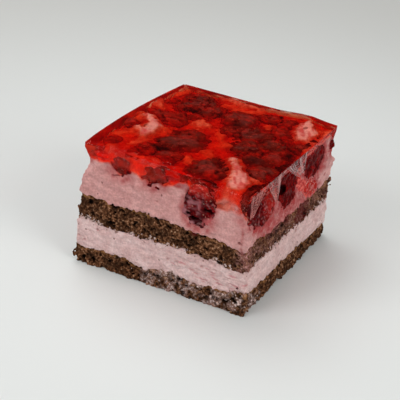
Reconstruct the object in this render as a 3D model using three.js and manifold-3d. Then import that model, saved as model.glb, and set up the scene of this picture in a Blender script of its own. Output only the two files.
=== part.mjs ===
// A square-cut slice of raspberry layer cake, in millimetres, +Z up, lying flat on z = 0.
// From below: chocolate sponge, a light raspberry cream, chocolate sponge, a thick raspberry
// mousse and a clear red jelly. Raspberries lie between mousse and jelly, and the knife went
// through those at the four cut sides, so each of them is a piece of its own.
// The front side faces -Y and the right side faces +X.
import * as THREE from "three";
import { mergeVertices } from "three/addons/utils/BufferGeometryUtils.js";
import Module from "manifold-3d";

// ---- Driving dimensions ----
const WIDTH = 60; // along X, corner to corner
const DEPTH = 63.4; // along Y
const TOP = 42.6; // the jelly's flat top
const GAP = 0.3; // between pieces that are cut to each other
const PER_SIDE = 20; // outline points on each side
const COUNT = 4 * PER_SIDE;
const RIM = 0.5; // rounding of the jelly's top edge
const THINNEST_JELLY = 0.9; // above the highest peak of mousse
const MIDDLE = [0.7, -0.26]; // moves the finished slice so that its box is centred on the origin

// How far each corner stands out of the plain rectangle, at the foot and at the top: [x, y].
// In order: front left, front right, back right, back left.
const CORNERS = [
  { sign: [-1, -1], foot: [-1.6, -1.2], top: [-0.2, 1.3] },
  { sign: [1, -1], foot: [0.3, 1.4], top: [0.2, -1.2] },
  { sign: [1, 1], foot: [0.1, 0.3], top: [0.1, 0.2] },
  { sign: [-1, 1], foot: [0.2, -0.2], top: [-0.3, 0.5] },
];
// The mousse draws in just under the jelly and widens again towards the sponge. It draws in by
// a share of `depth` that differs from side to side, and on the right it fades towards the back.
const NECK = { depth: 1.7, height: 37.2, above: 2.2, below: 4.4 };
const NECK_SHARES = { front: 0.5, right: 0.7, rightFade: 0.3, back: 0.2, left: 1.2 };
// The top edge bulges on the left side and in one place on the back.
const LEFT_BULGE = 1.7;
const BACK_BULGE = { out: 2.1, x: 18, spread: 5 };

// The faces between the layers: a height, a slope in X and Y, and bumps [x, y, rise, spread].
const BASE_TOP = {
  height: 6.2,
  slope: [0.012, -0.012],
  bumps: [
    [-6, -32, -1.2, 3.5],
    [5, -32, 0.7, 3],
    [12, -32, -0.9, 2.5],
    [27, -30, 1.1, 4],
    [31, 18, -0.7, 6],
    [-30, 5, 0.7, 6],
    [-4, 32, -0.6, 7],
  ],
};
const CREAM_TOP = {
  height: 15.8,
  slope: [0.004, -0.02],
  bumps: [
    [-20, -32, -0.4, 4],
    [5, -32, 0.7, 8],
    [27, -31, -0.8, 3],
    [31, 0, 0.3, 6],
    [-31, 12, 0.6, 7],
    [8, 32, 0.5, 6],
  ],
};
const SPONGE_TOP = {
  height: 23.8,
  slope: [-0.01, -0.022],
  bumps: [
    [0, -32, 0.7, 9],
    [28, -32, -1.6, 2.6],
    [31, -25, 0.9, 5],
    [31, 12, -0.6, 7],
    [-31, 8, 0.5, 6],
    [-6, 32, 0.5, 7],
  ],
};
const MOUSSE_TOP = {
  height: 38.2,
  slope: [-0.008, 0],
  bumps: [
    // the wave along the front side
    [-28, -32, -1.0, 3.0],
    [-16.5, -31.5, -3.9, 2.0],
    [-7, -31.5, -3.4, 2.4],
    [0, -32, -1.4, 2.2],
    [7.5, -32, 2.2, 2.4],
    [22, -33, -3.4, 3.2],
    [29, -32, -3.4, 2.6],
    // the low stretch along the right side, and small waves on the others
    [31, -22, -5.0, 4.0],
    [31, -12, -5.0, 3.0],
    [31, -3, -6.5, 4.0],
    [31, 7, -6.0, 4.0],
    [31, 16, -4.5, 4.0],
    [31, 27, -1.6, 4.0],
    [-31, -22, -1.2, 4.0],
    [20, 32, 0.6, 4.0],
    // pale peaks that come up near the jelly's top
    [23.4, 19.5, 3.2, 2.5],
    [22.6, 25, 2.8, 2.1],
    [-24, -0.5, 2.8, 1.6],
    [-20, -4.5, 3.2, 1.8],
    [-19.5, -10, 3.0, 1.9],
    [14.8, -13.5, 2.9, 1.7],
    [18.5, -18.5, 3.2, 2.3],
    [22, -24, 3.3, 2.4],
    [-8, 6, 1.8, 2.7],
    [-9, 30.5, 1.9, 2.5],
    [-1, 30.5, 1.9, 2.5],
    [-30, 13, 2.0, 3.0],
    [-8.8, -27.5, 1.6, 1.9],
  ],
};

// The raspberries that the knife cut: centre, then half sizes along X, Y and Z before turning,
// with the stalk end at -Y, then turns in degrees, first the tip about X and then yaw about Z.
const CUT_BERRIES = [
  { name: "front_1", at: [12.9, -31.2, 34.0], half: [5.6, 6.8, 5.8], yaw: 0, tip: 90, hollow: false },
  { name: "front_2", at: [-16.6, -30.4, 37.2], half: [3.6, 4.2, 2.4], yaw: 70, tip: 10, hollow: false },
  { name: "front_3", at: [-3.6, -30.6, 37.8], half: [3.6, 4.4, 2.5], yaw: 80, tip: -14, hollow: false },
  { name: "right_1", at: [28.6, -22.4, 34.2], half: [6.0, 9.0, 5.4], yaw: 6, tip: -16, hollow: true },
  { name: "right_2", at: [28.4, -4.2, 33.2], half: [6.0, 6.8, 5.8], yaw: -8, tip: -18, hollow: true },
  { name: "right_3", at: [28.2, 16.4, 35.2], half: [6.0, 8.6, 5.0], yaw: 4, tip: 4, hollow: false },
  { name: "right_4", at: [29.8, 30.4, 36.2], half: [2.6, 1.8, 1.7], yaw: 0, tip: 0, hollow: false },
  { name: "right_5", at: [29.0, 14.4, 26.7], half: [3.6, 6.2, 2.4], yaw: 0, tip: -24, hollow: false },
  { name: "back_1", at: [-15.6, 29.0, 33.2], half: [7.4, 5.8, 4.7], yaw: 12, tip: 0, hollow: false },
  { name: "back_2", at: [9.0, 29.6, 33.2], half: [7.0, 6.0, 4.6], yaw: -10, tip: 0, hollow: true },
  { name: "left_1", at: [-29.4, 6.2, 32.6], half: [6.2, 5.6, 4.4], yaw: 0, tip: 10, hollow: true },
  { name: "left_2", at: [-29.6, -10.5, 32.8], half: [5.6, 6.2, 4.2], yaw: 10, tip: -12, hollow: false },
];
// A berry's knobs: how many stand round it and along it, and how far they stand out.
const KNOBS_ROUND = 8;
const KNOBS_ALONG = 6;
const KNOB_RISE = 0.07;
const BERRY_TAPER = 0.16;
const BERRY_SEGMENTS = [2 * KNOBS_ROUND, 2 * KNOBS_ALONG];
// The hollow's half sizes and its middle along the berry, as shares of the berry's half sizes.
const HOLLOW = { share: [0.34, 0.75, 0.34], middle: -0.75, segments: [8, 6] };
// The smooth bed that a berry leaves in the mousse and the jelly.
const BED = { segments: [12, 8], swell: 1.12 };

// How the cut sides are broken up: rows of relief, and how far it goes in and out.
const CRUMB = { rows: 3, relief: 0.7 };
const SPREAD = { rows: 3, relief: 0.3 };
const WHIPPED = { rows: 5, relief: 0.3 };
const WELD = 1e-4; // points closer than this are one

const COLOURS = {
  sponge: { color: 0x4a2e1d, roughness: 0.95 },
  cream: { color: 0xcfaeac, roughness: 0.6 },
  mousse: { color: 0xc4959a, roughness: 0.6 },
  jelly: { color: 0xc21a10, roughness: 0.08 },
  berry: { color: 0x5e1014, roughness: 0.35 },
};

// ---- Small helpers ----
const bell = (distance, spread) => Math.exp(-(distance * distance) / (2 * spread * spread));

// The same number from -1 to 1 each time for the same place.
function rough(i, j, seed) {
  const s = Math.sin(i * 12.9898 + j * 78.233 + seed * 37.719) * 43758.5453;
  return 2 * (s - Math.floor(s)) - 1;
}

function heightOf(face, x, y) {
  let z = face.height + face.slope[0] * x + face.slope[1] * y;
  for (const [bx, by, rise, spread] of face.bumps) z += rise * bell(Math.hypot(x - bx, y - by), spread);
  return Math.min(z, TOP - THINNEST_JELLY);
}

// ---- The outline, as four sides that bend between corners ----
function cornerAt(k, z) {
  const corner = CORNERS[k % 4];
  const share = z / TOP;
  return [0, 1].map((axis) => {
    const half = (axis === 0 ? WIDTH : DEPTH) / 2;
    return corner.sign[axis] * half + THREE.MathUtils.lerp(corner.foot[axis], corner.top[axis], share);
  });
}

// Point i of the outline at height z, moved out by `out`. Points start at the front left corner.
function outline(i, z, out = 0) {
  const side = Math.floor(i / PER_SIDE) % 4;
  const t = (i % PER_SIDE) / PER_SIDE;
  const a = cornerAt(side, z);
  const b = cornerAt(side + 1, z);
  let x = THREE.MathUtils.lerp(a[0], b[0], t);
  let y = THREE.MathUtils.lerp(a[1], b[1], t);
  const share = z / TOP;
  if (side === 3) x -= LEFT_BULGE * share * Math.sin(Math.PI * t);
  if (side === 2) y += BACK_BULGE.out * share * bell(x - BACK_BULGE.x, BACK_BULGE.spread);
  const drawn = NECK.depth * bell(z - NECK.height, z > NECK.height ? NECK.above : NECK.below);
  const right = NECK_SHARES.right - (NECK_SHARES.rightFade * y) / (DEPTH / 2);
  const across = drawn * (x > 0 ? right : NECK_SHARES.left);
  const along = drawn * (y > 0 ? NECK_SHARES.back : NECK_SHARES.front);
  return [x * (1 + (out - across) / (WIDTH / 2)), y * (1 + (out - along) / (DEPTH / 2))];
}

// ---- Closed surfaces built from rings of COUNT, COUNT / 2, ... points ----
class Skin {
  constructor() {
    this.points = [];
    this.faces = [];
  }

  ring(points) {
    const first = this.points.length;
    this.points.push(...points);
    return { first, count: points.length };
  }

  // Joins two rings, where the second has as many points as the first or half as many.
  join(a, b) {
    const step = a.count / b.count;
    for (let i = 0; i < b.count; i++) {
      const next = (i + 1) % b.count;
      const outer = [0, 1, 2].map((k) => a.first + ((i * step + k) % a.count));
      const inner = [b.first + i, b.first + next];
      this.faces.push([outer[0], outer[1], inner[0]], [outer[1], inner[1], inner[0]]);
      if (step === 2) this.faces.push([outer[1], outer[2], inner[1]]);
    }
  }

  fan(ring, point) {
    const tip = this.points.push(point) - 1;
    for (let i = 0; i < ring.count; i++) {
      this.faces.push([ring.first + i, ring.first + ((i + 1) % ring.count), tip]);
    }
  }

  geometry() {
    const g = new THREE.BufferGeometry();
    g.setAttribute("position", new THREE.Float32BufferAttribute(this.points.flat(), 3));
    g.setIndex(this.faces.flat());
    return g;
  }
}

const ringAt = (height, out = () => 0) =>
  Array.from({ length: COUNT }, (_, i) => {
    const z = height(...outline(i, TOP / 2), i);
    return [...outline(i, z, out(i)), z];
  });

// Closes a skin with a cap that follows `height`, in rings that are a share of the edge ring's
// size and have that ring's points thinned out.
function cap(skin, edge, shares, height) {
  let last = edge;
  for (const { share, thin } of shares) {
    const count = COUNT / thin;
    const points = Array.from({ length: count }, (_, k) => {
      const [x, y] = skin.points[edge.first + k * thin].map((v) => v * share);
      return [x, y, height(x, y)];
    });
    const ring = skin.ring(points);
    skin.join(last, ring);
    last = ring;
  }
  skin.fan(last, [0, 0, height(0, 0)]);
}

const PLAIN_CAP = [
  { share: 0.86, thin: 2 },
  { share: 0.5, thin: 4 },
];
const WAVY_CAP = [
  { share: 0.92, thin: 1 },
  { share: 0.8, thin: 2 },
  { share: 0.66, thin: 2 },
  { share: 0.5, thin: 2 },
  { share: 0.32, thin: 4 },
  { share: 0.14, thin: 8 },
];

// A layer from the face `low` to the face `high`, with `rows` rows of relief on its cut sides.
function layer({ low, high, sides, seed, highCap = PLAIN_CAP }) {
  const { rows, relief } = sides;
  const skin = new Skin();
  const rings = [];
  for (let row = 0; row <= rows; row++) {
    const share = row / rows;
    const edge = row === 0 || row === rows;
    rings.push(
      skin.ring(
        ringAt(
          (x, y) => THREE.MathUtils.lerp(low(x, y), high(x, y), share),
          (i) => (edge ? 0 : relief * rough(i, row, seed)),
        ),
      ),
    );
  }
  for (let row = 0; row < rows; row++) skin.join(rings[row], rings[row + 1]);
  cap(skin, rings[rows], highCap, high);
  const under = skin.faces.length;
  cap(skin, rings[0], PLAIN_CAP, low);
  for (const face of skin.faces.slice(under)) face.reverse();
  return skin.geometry();
}

const faceOf = (face) => (x, y) => heightOf(face, x, y);
const floor = () => 0;
const jellyFoot = (x, y) => Math.min(heightOf(MOUSSE_TOP, x, y) + GAP, TOP - THINNEST_JELLY + GAP);

// The jelly: cut sides, a rounded edge and a flat top over the waves of the mousse.
function jellyGeometry() {
  const skin = new Skin();
  const side = (share) => (x, y) => THREE.MathUtils.lerp(jellyFoot(x, y), TOP - RIM, share);
  const foot = skin.ring(ringAt(side(0)));
  const middle = skin.ring(ringAt(side(0.5), (i) => SPREAD.relief * rough(i, 1, 9)));
  const shoulder = skin.ring(ringAt(side(1)));
  const edge = skin.ring(ringAt(() => TOP, () => -RIM));
  skin.join(foot, middle);
  skin.join(middle, shoulder);
  skin.join(shoulder, edge);
  skin.fan(edge, [0, 0, TOP]);
  const under = skin.faces.length;
  cap(skin, foot, WAVY_CAP, jellyFoot);
  for (const face of skin.faces.slice(under)) face.reverse();
  return skin.geometry();
}

// The whole slice without relief, which the cut berries end flush with.
function plainSlice() {
  const skin = new Skin();
  const rings = [0, 24, 30, 34, 37, 40, TOP].map((z) => skin.ring(ringAt(() => z)));
  for (let k = 0; k + 1 < rings.length; k++) skin.join(rings[k], rings[k + 1]);
  skin.fan(rings.at(-1), [0, 0, TOP]);
  const under = skin.faces.length;
  skin.fan(rings[0], [0, 0, 0]);
  for (const face of skin.faces.slice(under)) face.reverse();
  return skin.geometry();
}

// ---- Solids ----
const wasm = await Module();
wasm.setup();

function solid(geometry) {
  const bare = geometry.clone();
  bare.deleteAttribute("normal");
  bare.deleteAttribute("uv");
  const merged = mergeVertices(bare, WELD);
  return new wasm.Manifold(
    new wasm.Mesh({
      numProp: 3,
      vertProperties: merged.attributes.position.array,
      triVerts: new Uint32Array(merged.index.array),
    }),
  );
}

function geometryOf(made) {
  const mesh = made.getMesh();
  const positions = new Float32Array(mesh.numVert * 3);
  for (let v = 0; v < mesh.numVert; v++) {
    positions.set(mesh.vertProperties.subarray(v * mesh.numProp, v * mesh.numProp + 3), v * 3);
  }
  const g = new THREE.BufferGeometry();
  g.setAttribute("position", new THREE.BufferAttribute(positions, 3));
  g.setIndex(new THREE.BufferAttribute(mesh.triVerts, 1));
  return g;
}

// ---- Raspberries ----
const turned = (berry) =>
  new THREE.Matrix4()
    .makeTranslation(...berry.at)
    .multiply(new THREE.Matrix4().makeRotationZ(THREE.MathUtils.degToRad(berry.yaw)))
    .multiply(new THREE.Matrix4().makeRotationX(THREE.MathUtils.degToRad(berry.tip)));

// A ball in a berry's place, whose points `shape` moves in and out.
function ball([round, along], berry, grow, shape) {
  const g = new THREE.SphereGeometry(1, round, along);
  const p = g.attributes.position;
  for (let v = 0; v < p.count; v++) {
    const ringIndex = Math.floor(v / (round + 1));
    const pole = ringIndex === 0 || ringIndex === along;
    const radius = pole ? 1 : shape((v % (round + 1)) % round, ringIndex);
    const taper = 1 - BERRY_TAPER * p.getY(v);
    p.setXYZ(
      v,
      p.getX(v) * radius * taper * (berry.half[0] + grow),
      p.getY(v) * radius * (berry.half[1] + grow),
      p.getZ(v) * radius * taper * (berry.half[2] + grow),
    );
  }
  return g.applyMatrix4(turned(berry));
}

const knobs = (i, j) => 1 + ((i + j) % 2 ? KNOB_RISE : -KNOB_RISE);
const berryGeometry = (berry) => ball(BERRY_SEGMENTS, berry, 0, knobs);
const bedGeometry = (berry) => ball(BED.segments, berry, GAP, () => BED.swell);

// The space where the berry came off its stalk, open at the wide end.
function hollowGeometry(berry) {
  const g = new THREE.SphereGeometry(1, ...HOLLOW.segments);
  g.scale(...berry.half.map((h, axis) => h * HOLLOW.share[axis]));
  g.translate(0, HOLLOW.middle * berry.half[1], 0);
  return g.applyMatrix4(turned(berry));
}

// ---- The slice ----
const slice = new THREE.Group();

function add(name, geometry, look) {
  const mesh = new THREE.Mesh(geometry, new THREE.MeshStandardMaterial({ metalness: 0, ...look }));
  mesh.name = name;
  mesh.geometry.computeVertexNormals();
  slice.add(mesh);
}

add(
  "base_sponge",
  layer({ low: floor, high: faceOf(BASE_TOP), sides: CRUMB, seed: 1 }),
  COLOURS.sponge,
);
add(
  "lower_cream",
  layer({ low: faceOf(BASE_TOP), high: faceOf(CREAM_TOP), sides: SPREAD, seed: 2 }),
  COLOURS.cream,
);
add(
  "middle_sponge",
  layer({ low: faceOf(CREAM_TOP), high: faceOf(SPONGE_TOP), sides: CRUMB, seed: 3 }),
  COLOURS.sponge,
);

const whole = solid(plainSlice());
let mousse = solid(
  layer({
    low: faceOf(SPONGE_TOP),
    high: faceOf(MOUSSE_TOP),
    sides: WHIPPED,
    seed: 4,
    highCap: WAVY_CAP,
  }),
);
let jelly = solid(jellyGeometry());
for (const berry of CUT_BERRIES) {
  const bed = solid(bedGeometry(berry));
  mousse = mousse.subtract(bed);
  jelly = jelly.subtract(bed);
  let flesh = solid(berryGeometry(berry)).intersect(whole);
  if (berry.hollow) flesh = flesh.subtract(solid(hollowGeometry(berry)));
  add(`raspberry_${berry.name}`, geometryOf(flesh), COLOURS.berry);
}
add("raspberry_mousse", geometryOf(mousse), COLOURS.mousse);
add("jelly", geometryOf(jelly), COLOURS.jelly);

slice.position.set(...MIDDLE, 0);

export default slice;
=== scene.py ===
"""A square-cut slice of raspberry layer cake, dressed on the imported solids: chocolate sponge, raspberry
cream, sponge, raspberry mousse, and clear red jelly over whole and cut raspberries.

Every piece but the film is the zero level of a signed distance field, which is negative inside the
food. Fields are in millimetres, in the slice's own frame, and make_piece() makes metres of them."""

import math

import bpy
import numpy as np
from mathutils import Matrix, Vector


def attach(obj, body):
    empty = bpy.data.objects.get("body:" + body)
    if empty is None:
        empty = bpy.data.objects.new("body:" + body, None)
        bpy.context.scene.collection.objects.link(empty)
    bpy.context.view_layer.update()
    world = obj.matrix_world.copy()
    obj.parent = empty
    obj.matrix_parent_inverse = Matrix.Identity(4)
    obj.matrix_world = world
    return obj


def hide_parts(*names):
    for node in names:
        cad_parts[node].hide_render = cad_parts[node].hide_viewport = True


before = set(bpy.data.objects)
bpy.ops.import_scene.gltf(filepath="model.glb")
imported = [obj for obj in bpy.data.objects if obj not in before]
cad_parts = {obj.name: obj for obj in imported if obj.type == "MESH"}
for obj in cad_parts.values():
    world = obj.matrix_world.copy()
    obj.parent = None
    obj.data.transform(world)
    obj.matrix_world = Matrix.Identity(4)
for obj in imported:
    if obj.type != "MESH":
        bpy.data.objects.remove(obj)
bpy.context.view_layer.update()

# ---- The slice's dimensions, as in the solids, in millimetres ----
WIDTH = 60.0
DEPTH = 63.4
TOP = 42.6
MIDDLE = np.array([0.7, -0.26, 0.0])  # from the slice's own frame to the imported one
MM = 0.001
CORNERS = [
    {"sign": (-1, -1), "foot": (-1.6, -1.2), "top": (-0.2, 1.3)},
    {"sign": (1, -1), "foot": (0.3, 1.4), "top": (0.2, -1.2)},
    {"sign": (1, 1), "foot": (0.1, 0.3), "top": (0.1, 0.2)},
    {"sign": (-1, 1), "foot": (0.2, -0.2), "top": (-0.3, 0.5)},
]
CORNER_ROUND = 0.3
OUTSET = 0.15  # how far the dressed sides stand out from the plain ones
NECK = {"depth": 1.7, "height": 37.2, "above": 2.2, "below": 4.4}
NECK_SHARES = {"front": 0.5, "right": 0.7, "right_fade": 0.3, "back": 0.2, "left": 1.2}
LEFT_BULGE = 1.7
BACK_BULGE = {"out": 2.1, "x": 18.0, "spread": 5.0}
THINNEST_JELLY = 0.25

# The faces between the layers: a height, a slope in X and Y, bumps (x, y, lift, spread), and the seed of
# a torn face's noise.
BASE_TOP = {
    "seed": 94,
    "height": 6.2,
    "slope": (0.012, -0.012),
    "bumps": [
        (-6, -32, -1.2, 3.5), (5, -32, 0.7, 3), (12, -32, -0.9, 2.5), (27, -30, 1.1, 4),
        (31, 18, -0.7, 6), (-30, 5, 0.7, 6), (-4, 32, -0.6, 7),
    ],
}
CREAM_TOP = {
    "seed": 104,
    "height": 15.8,
    "slope": (0.004, -0.02),
    "bumps": [
        (-20, -32, -0.4, 4), (5, -32, 0.7, 8), (27, -31, -0.8, 3), (31, 0, 0.3, 6),
        (-31, 12, 0.6, 7), (8, 32, 0.5, 6),
    ],
}
SPONGE_TOP = {
    "seed": 124,
    "height": 23.8,
    "slope": (-0.01, -0.022),
    "bumps": [
        (0, -32, 0.7, 9), (28, -32, -1.6, 2.6), (31, -25, 0.9, 5), (31, 12, -0.6, 7),
        (-31, 8, 0.5, 6), (-6, 32, 0.5, 7),
    ],
}
MOUSSE_TOP = {
    "height": 38.2,
    "slope": (-0.008, 0),
    "bumps": [
        (-28, -32, -1.0, 3.0), (-16.5, -31.5, -3.9, 2.0), (-7, -31.5, -3.4, 2.4),
        (0, -32, -1.4, 2.2), (7.5, -32, 2.2, 2.4), (22, -33, -3.4, 3.2), (29, -32, -3.4, 2.6),
        (31, -22, -5.0, 4.0), (31, -12, -5.0, 3.0), (31, -3, -6.5, 4.0), (31, 7, -6.0, 4.0),
        (31, 16, -4.5, 4.0), (31, 27, -1.6, 4.0), (-31, -22, -1.2, 4.0), (20, 32, 0.6, 4.0),
        (23.4, 19.5, 3.2, 2.5), (22.6, 25, 2.8, 2.1), (-24, -0.5, 2.8, 1.6), (-20, -4.5, 3.2, 1.8),
        (-19.5, -10, 3.0, 1.9), (14.8, -13.5, 2.9, 1.7), (18.5, -18.5, 3.2, 2.3),
        (22, -24, 3.3, 2.4), (-8, 6, 1.8, 2.7), (-9, 30.5, 1.9, 2.5), (-1, 30.5, 1.9, 2.5),
        (-30, 13, 2.0, 3.0), (-8.8, -27.5, 1.6, 1.9),
    ],
}
# Where the mousse comes up close under the jelly: the jelly left above, and a line of (x, y, half width).
PALE_RIDGES = [
    (0.25, [(20.4, 30.0, 0.3), (21.6, 25.0, 1.9), (23.2, 21.0, 3.0), (24.2, 16.0, 1.4)]),
    (0.25, [(-26.8, 1.2, 0.5), (-23.2, -1, 1), (-20.6, -4.2, 1.8), (-19.8, -7.8, 2), (-19.4, -11.4, 1)]),
    (0.5, [(-19.8, -10.2, 1.2), (-23.6, -8.8, 0.7)]),
    (0.25, [(13.4, -12, 0.6), (16, -15, 1), (19.4, -19.6, 1.9), (21.6, -23.6, 2.3), (22.6, -27.4, 1.8)]),
    (1.2, [(20.5, -20.0, 1.5), (25.2, -20.4, 0.9)]),
    (1.6, [(-9.6, 8.6, 1.2), (-8.4, 5.4, 1.8), (-6.4, 6.6, 0.9)]),
    (1.2, [(-13.0, 30.6, 0.4), (-6.0, 30.6, 0.7), (2.0, 30.0, 0.4)]),
    (1.6, [(-31.0, 17.0, 0.6), (-30.0, 12.5, 1.0), (-26.5, 10.8, 0.5)]),
]
ORANGE_RIDGES = [
    (2.8, [(2.4, -10.2, 1.5), (5.4, -12.4, 1.3)]),
    (2.6, [(1.2, -18.0, 1.2), (2.4, -20.2, 1.0)]),
    (2.8, [(-1.6, 6.4, 0.6), (2.6, -0.4, 0.7), (7.0, -2.0, 0.8), (5.6, -5.2, 0.5)]),
    (2.4, [(-16.6, -3.2, 0.9), (-15.2, -6.0, 1.1)]),
    (2.6, [(10.4, 20.6, 0.6), (11.4, 17.0, 0.9)]),
    (2.5, [(-9.4, 26.4, 0.9), (-1.4, 25.6, 1.1), (3.4, 28.8, 0.8)]),
    (2.5, [(-27.4, -15.6, 1.3), (-24.6, -11.6, 1.2)]),
    (2.2, [(-18.6, -19.0, 0.9), (-17.4, -14.6, 0.9)]),
    (3.3, [(-15.0, -25.0, 0.9), (-12.0, -26.4, 0.8)]),
    (3.3, [(-7.0, -24.6, 0.8), (-5.6, -27.0, 0.9)]),
    (2.6, [(-28.6, 25.0, 1.4), (-27.0, 29.0, 1.2)]),
    (2.5, [(25.4, 14.4, 0.8), (26.6, 18.6, 0.8), (26.2, 25.6, 1.0)]),
    (1.7, [(28.8, 9.0, 0.3), (29.2, 18.0, 0.7), (29.0, 28.0, 0.6)]),
    (2.6, [(-30.0, 2.6, 0.9), (-27.6, -2.6, 1.0)]),
    (3.0, [(-24.0, -24.0, 0.9), (-21.0, -26.5, 0.9)]),
]
RIDGES = PALE_RIDGES + ORANGE_RIDGES
RIDGE_SLOPE = 1.3
# Left of the near corner thin jelly runs down over the mousse: x, half width, how low it comes, thickness.
VEIL = {"x": 22.0, "half": 5.4, "low": 35.0, "thick": 0.6}

# The raspberries that the knife cut, as in the solids: centre, half sizes, tip and yaw in degrees. The
# wet ones are behind the jelly's face, and the hollow ones have lost their core.
CUT_BERRIES = {
    "front_1": {"at": (12.9, -31.2, 34.0), "half": (5.6, 6.8, 5.8), "yaw": 0, "tip": 90},
    "front_2": {"at": (-16.6, -30.4, 37.2), "half": (3.6, 4.2, 2.4), "yaw": 70, "tip": 10, "wet": True},
    "front_3": {"at": (-3.6, -30.6, 37.8), "half": (3.6, 4.4, 2.5), "yaw": 80, "tip": -14, "wet": True},
    "right_1": {"at": (28.6, -22.4, 34.2), "half": (6.0, 9.0, 5.4), "yaw": 6, "tip": -16, "hollow": True},
    "right_2": {"at": (28.4, -4.2, 33.2), "half": (6.0, 6.8, 5.8), "yaw": -8, "tip": -18, "hollow": True},
    "right_3": {"at": (28.2, 16.4, 35.2), "half": (6.0, 8.6, 5.0), "yaw": 4, "tip": 4},
    "right_4": {"at": (29.8, 30.4, 36.2), "half": (2.6, 1.8, 1.7), "yaw": 0, "tip": 0},
    "right_5": {"at": (29.0, 14.4, 26.7), "half": (3.6, 6.2, 2.4), "yaw": 0, "tip": -24},
    "back_1": {"at": (-15.6, 29.0, 33.2), "half": (7.4, 5.8, 4.7), "yaw": 12, "tip": 0},
    "back_2": {"at": (9.0, 29.6, 33.2), "half": (7.0, 6.0, 4.6), "yaw": -10, "tip": 0, "hollow": True},
    "left_1": {"at": (-29.4, 6.2, 32.6), "half": (6.2, 5.6, 4.4), "yaw": 0, "tip": 10, "hollow": True},
    "left_2": {"at": (-29.6, -10.5, 32.8), "half": (5.6, 6.2, 4.2), "yaw": 10, "tip": -12},
}
WET_DEPTH = 0.5  # how far behind the jelly's face the wet ones stay
WET_OVERLAP = 0.6  # how far the mousse closes over their edges
# Slits and holes in the front berry's cut face, as places and half sizes.
FRONT_HOLES = [
    ((16.6, -31.0, 33.2), (2.4, 2.4, 0.6)),
    ((11.6, -31.0, 29.2), (2.6, 2.2, 0.6)),
    ((9.4, -31.0, 30.6), (0.9, 2.0, 0.4)),
]
# The raspberries sunk in the jelly: x, y, half width, half length, half height, yaw, jelly above, tone.
SUNK_BERRIES = [
    (-19.0, 23.8, 6.8, 7.8, 4.6, 50, 0.9, 0.25),
    (-12.8, 19.8, 6.6, 7.6, 4.8, 20, 1.0, 0.25),
    (-20.5, 18.0, 4.8, 5.4, 4.2, 20, 1.3, 0.3),
    (0.2, 18.6, 6.4, 8.2, 5.0, 40, 1.2, 0.15),
    (7.4, 25.8, 3.9, 5.2, 4.0, 90, 2.0, 0.4),
    (15.6, 25.6, 3.6, 5.0, 4.0, 0, 2.2, 0.5),
    (16.6, 17.6, 3.8, 5.4, 4.0, 0, 1.8, 0.35),
    (9.4, 10.4, 7.4, 8.2, 5.2, 20, 1.2, 0.1),
    (20.0, 8.0, 6.4, 7.6, 5.2, -30, 1.3, 0.1),
    (12.6, 0.0, 6.6, 8.2, 5.2, 60, 1.3, 0.15),
    (23.5, 0.0, 5.6, 7.2, 4.8, 10, 1.4, 0.2),
    (18.6, -7.4, 5.2, 6.0, 4.4, 80, 1.6, 0.1),
    (24.6, -13.6, 6.0, 7.2, 5.0, 20, 1.3, 0.15),
    (-6.2, -2.6, 5.4, 7.2, 4.6, -70, 1.8, 0.15),
    (-7.4, -11.0, 6.2, 9.4, 5.0, -68, 0.95, 0.0),
    (10.4, -20.0, 7.6, 7.8, 5.0, 0, 1.1, 0.15),
    (1.4, 8.6, 4.0, 5.0, 4.0, 0, 2.2, 0.35),
    (-22.4, 5.8, 6.0, 9.8, 4.0, 82, 2.0, 0.55),
    (-12.0, 11.6, 4.0, 5.4, 3.6, 90, 2.4, 0.65),
    (-26.2, -20.0, 2.8, 4.4, 3.0, 0, 2.6, 0.75),
    (-14.0, -20.0, 4.6, 5.0, 3.8, 30, 2.1, 0.6),
    (-4.5, -20.6, 3.6, 5.4, 3.8, 85, 1.8, 0.45),
    (-29.0, -6.0, 2.8, 3.6, 3.0, 70, 1.6, 0.8),
    (-27.2, 18.0, 3.0, 3.4, 3.2, 0, 2.2, 0.7),
    (26.5, 10.0, 3.6, 4.6, 4.0, 0, 1.8, 0.3),
    (28.4, -26.4, 2.6, 3.6, 3.4, 0, 1.6, 0.2),
]
SUNK_FLOOR = 37.0
# The darkest places among them, painted with shade: x, y, and how far each reaches along X and Y.
DARK_PLACES = [
    (19.6, -8.2, 3.4, 1.5), (26.4, 1.6, 1.4, 2.4), (-8.6, -16.8, 3.4, 1.4), (-17.0, 15.0, 2.4, 1.1),
    (0.4, 12.6, 2.4, 1.1),
]
BERRY_TAPER = 0.16
HOLLOW = {"share": (0.34, 0.75, 0.34), "middle": -0.75}
DRUPELET = 0.23  # a drupelet's radius as a share of the berry's mean half size

# Where the front and right sides are, near enough for looks that fade away from them.
FRONT_Y = -32.0
RIGHT_X = 30.0
# The heights that each layer lies between, and the cell of the grid that it is made on.
LAYERS = {
    "base_sponge": (0.0, 8.0, 0.32),
    "lower_cream": (4.5, 17.6, 0.34),
    "middle_sponge": (15.0, 25.6, 0.32),
    "raspberry_mousse": (21.5, TOP, 0.39),
    "jelly": (29.5, TOP, 0.3),
}
BERRY_CELLS = {"seen": 0.27, "hidden": 0.36, "sunk": 0.42}
JELLY_BOTTOM = 36.0  # the jelly ends here where the mousse under it is higher still
TORN_FROM = -25.0  # in front of this y the jelly's side is torn


# ---- Fields ----
def bell(distance, spread):
    return np.exp(-(distance * distance) / (2 * spread * spread))


def near_front(y, spread=2.5):
    return bell(y - FRONT_Y, spread)


def near_right(x, spread=2.5):
    return bell(x - RIGHT_X, spread)


def rise(value, width=1.0):
    """From 0 to 1 as the value goes from 0 to `width`."""
    return np.clip(value / width, 0, 1)


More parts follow.
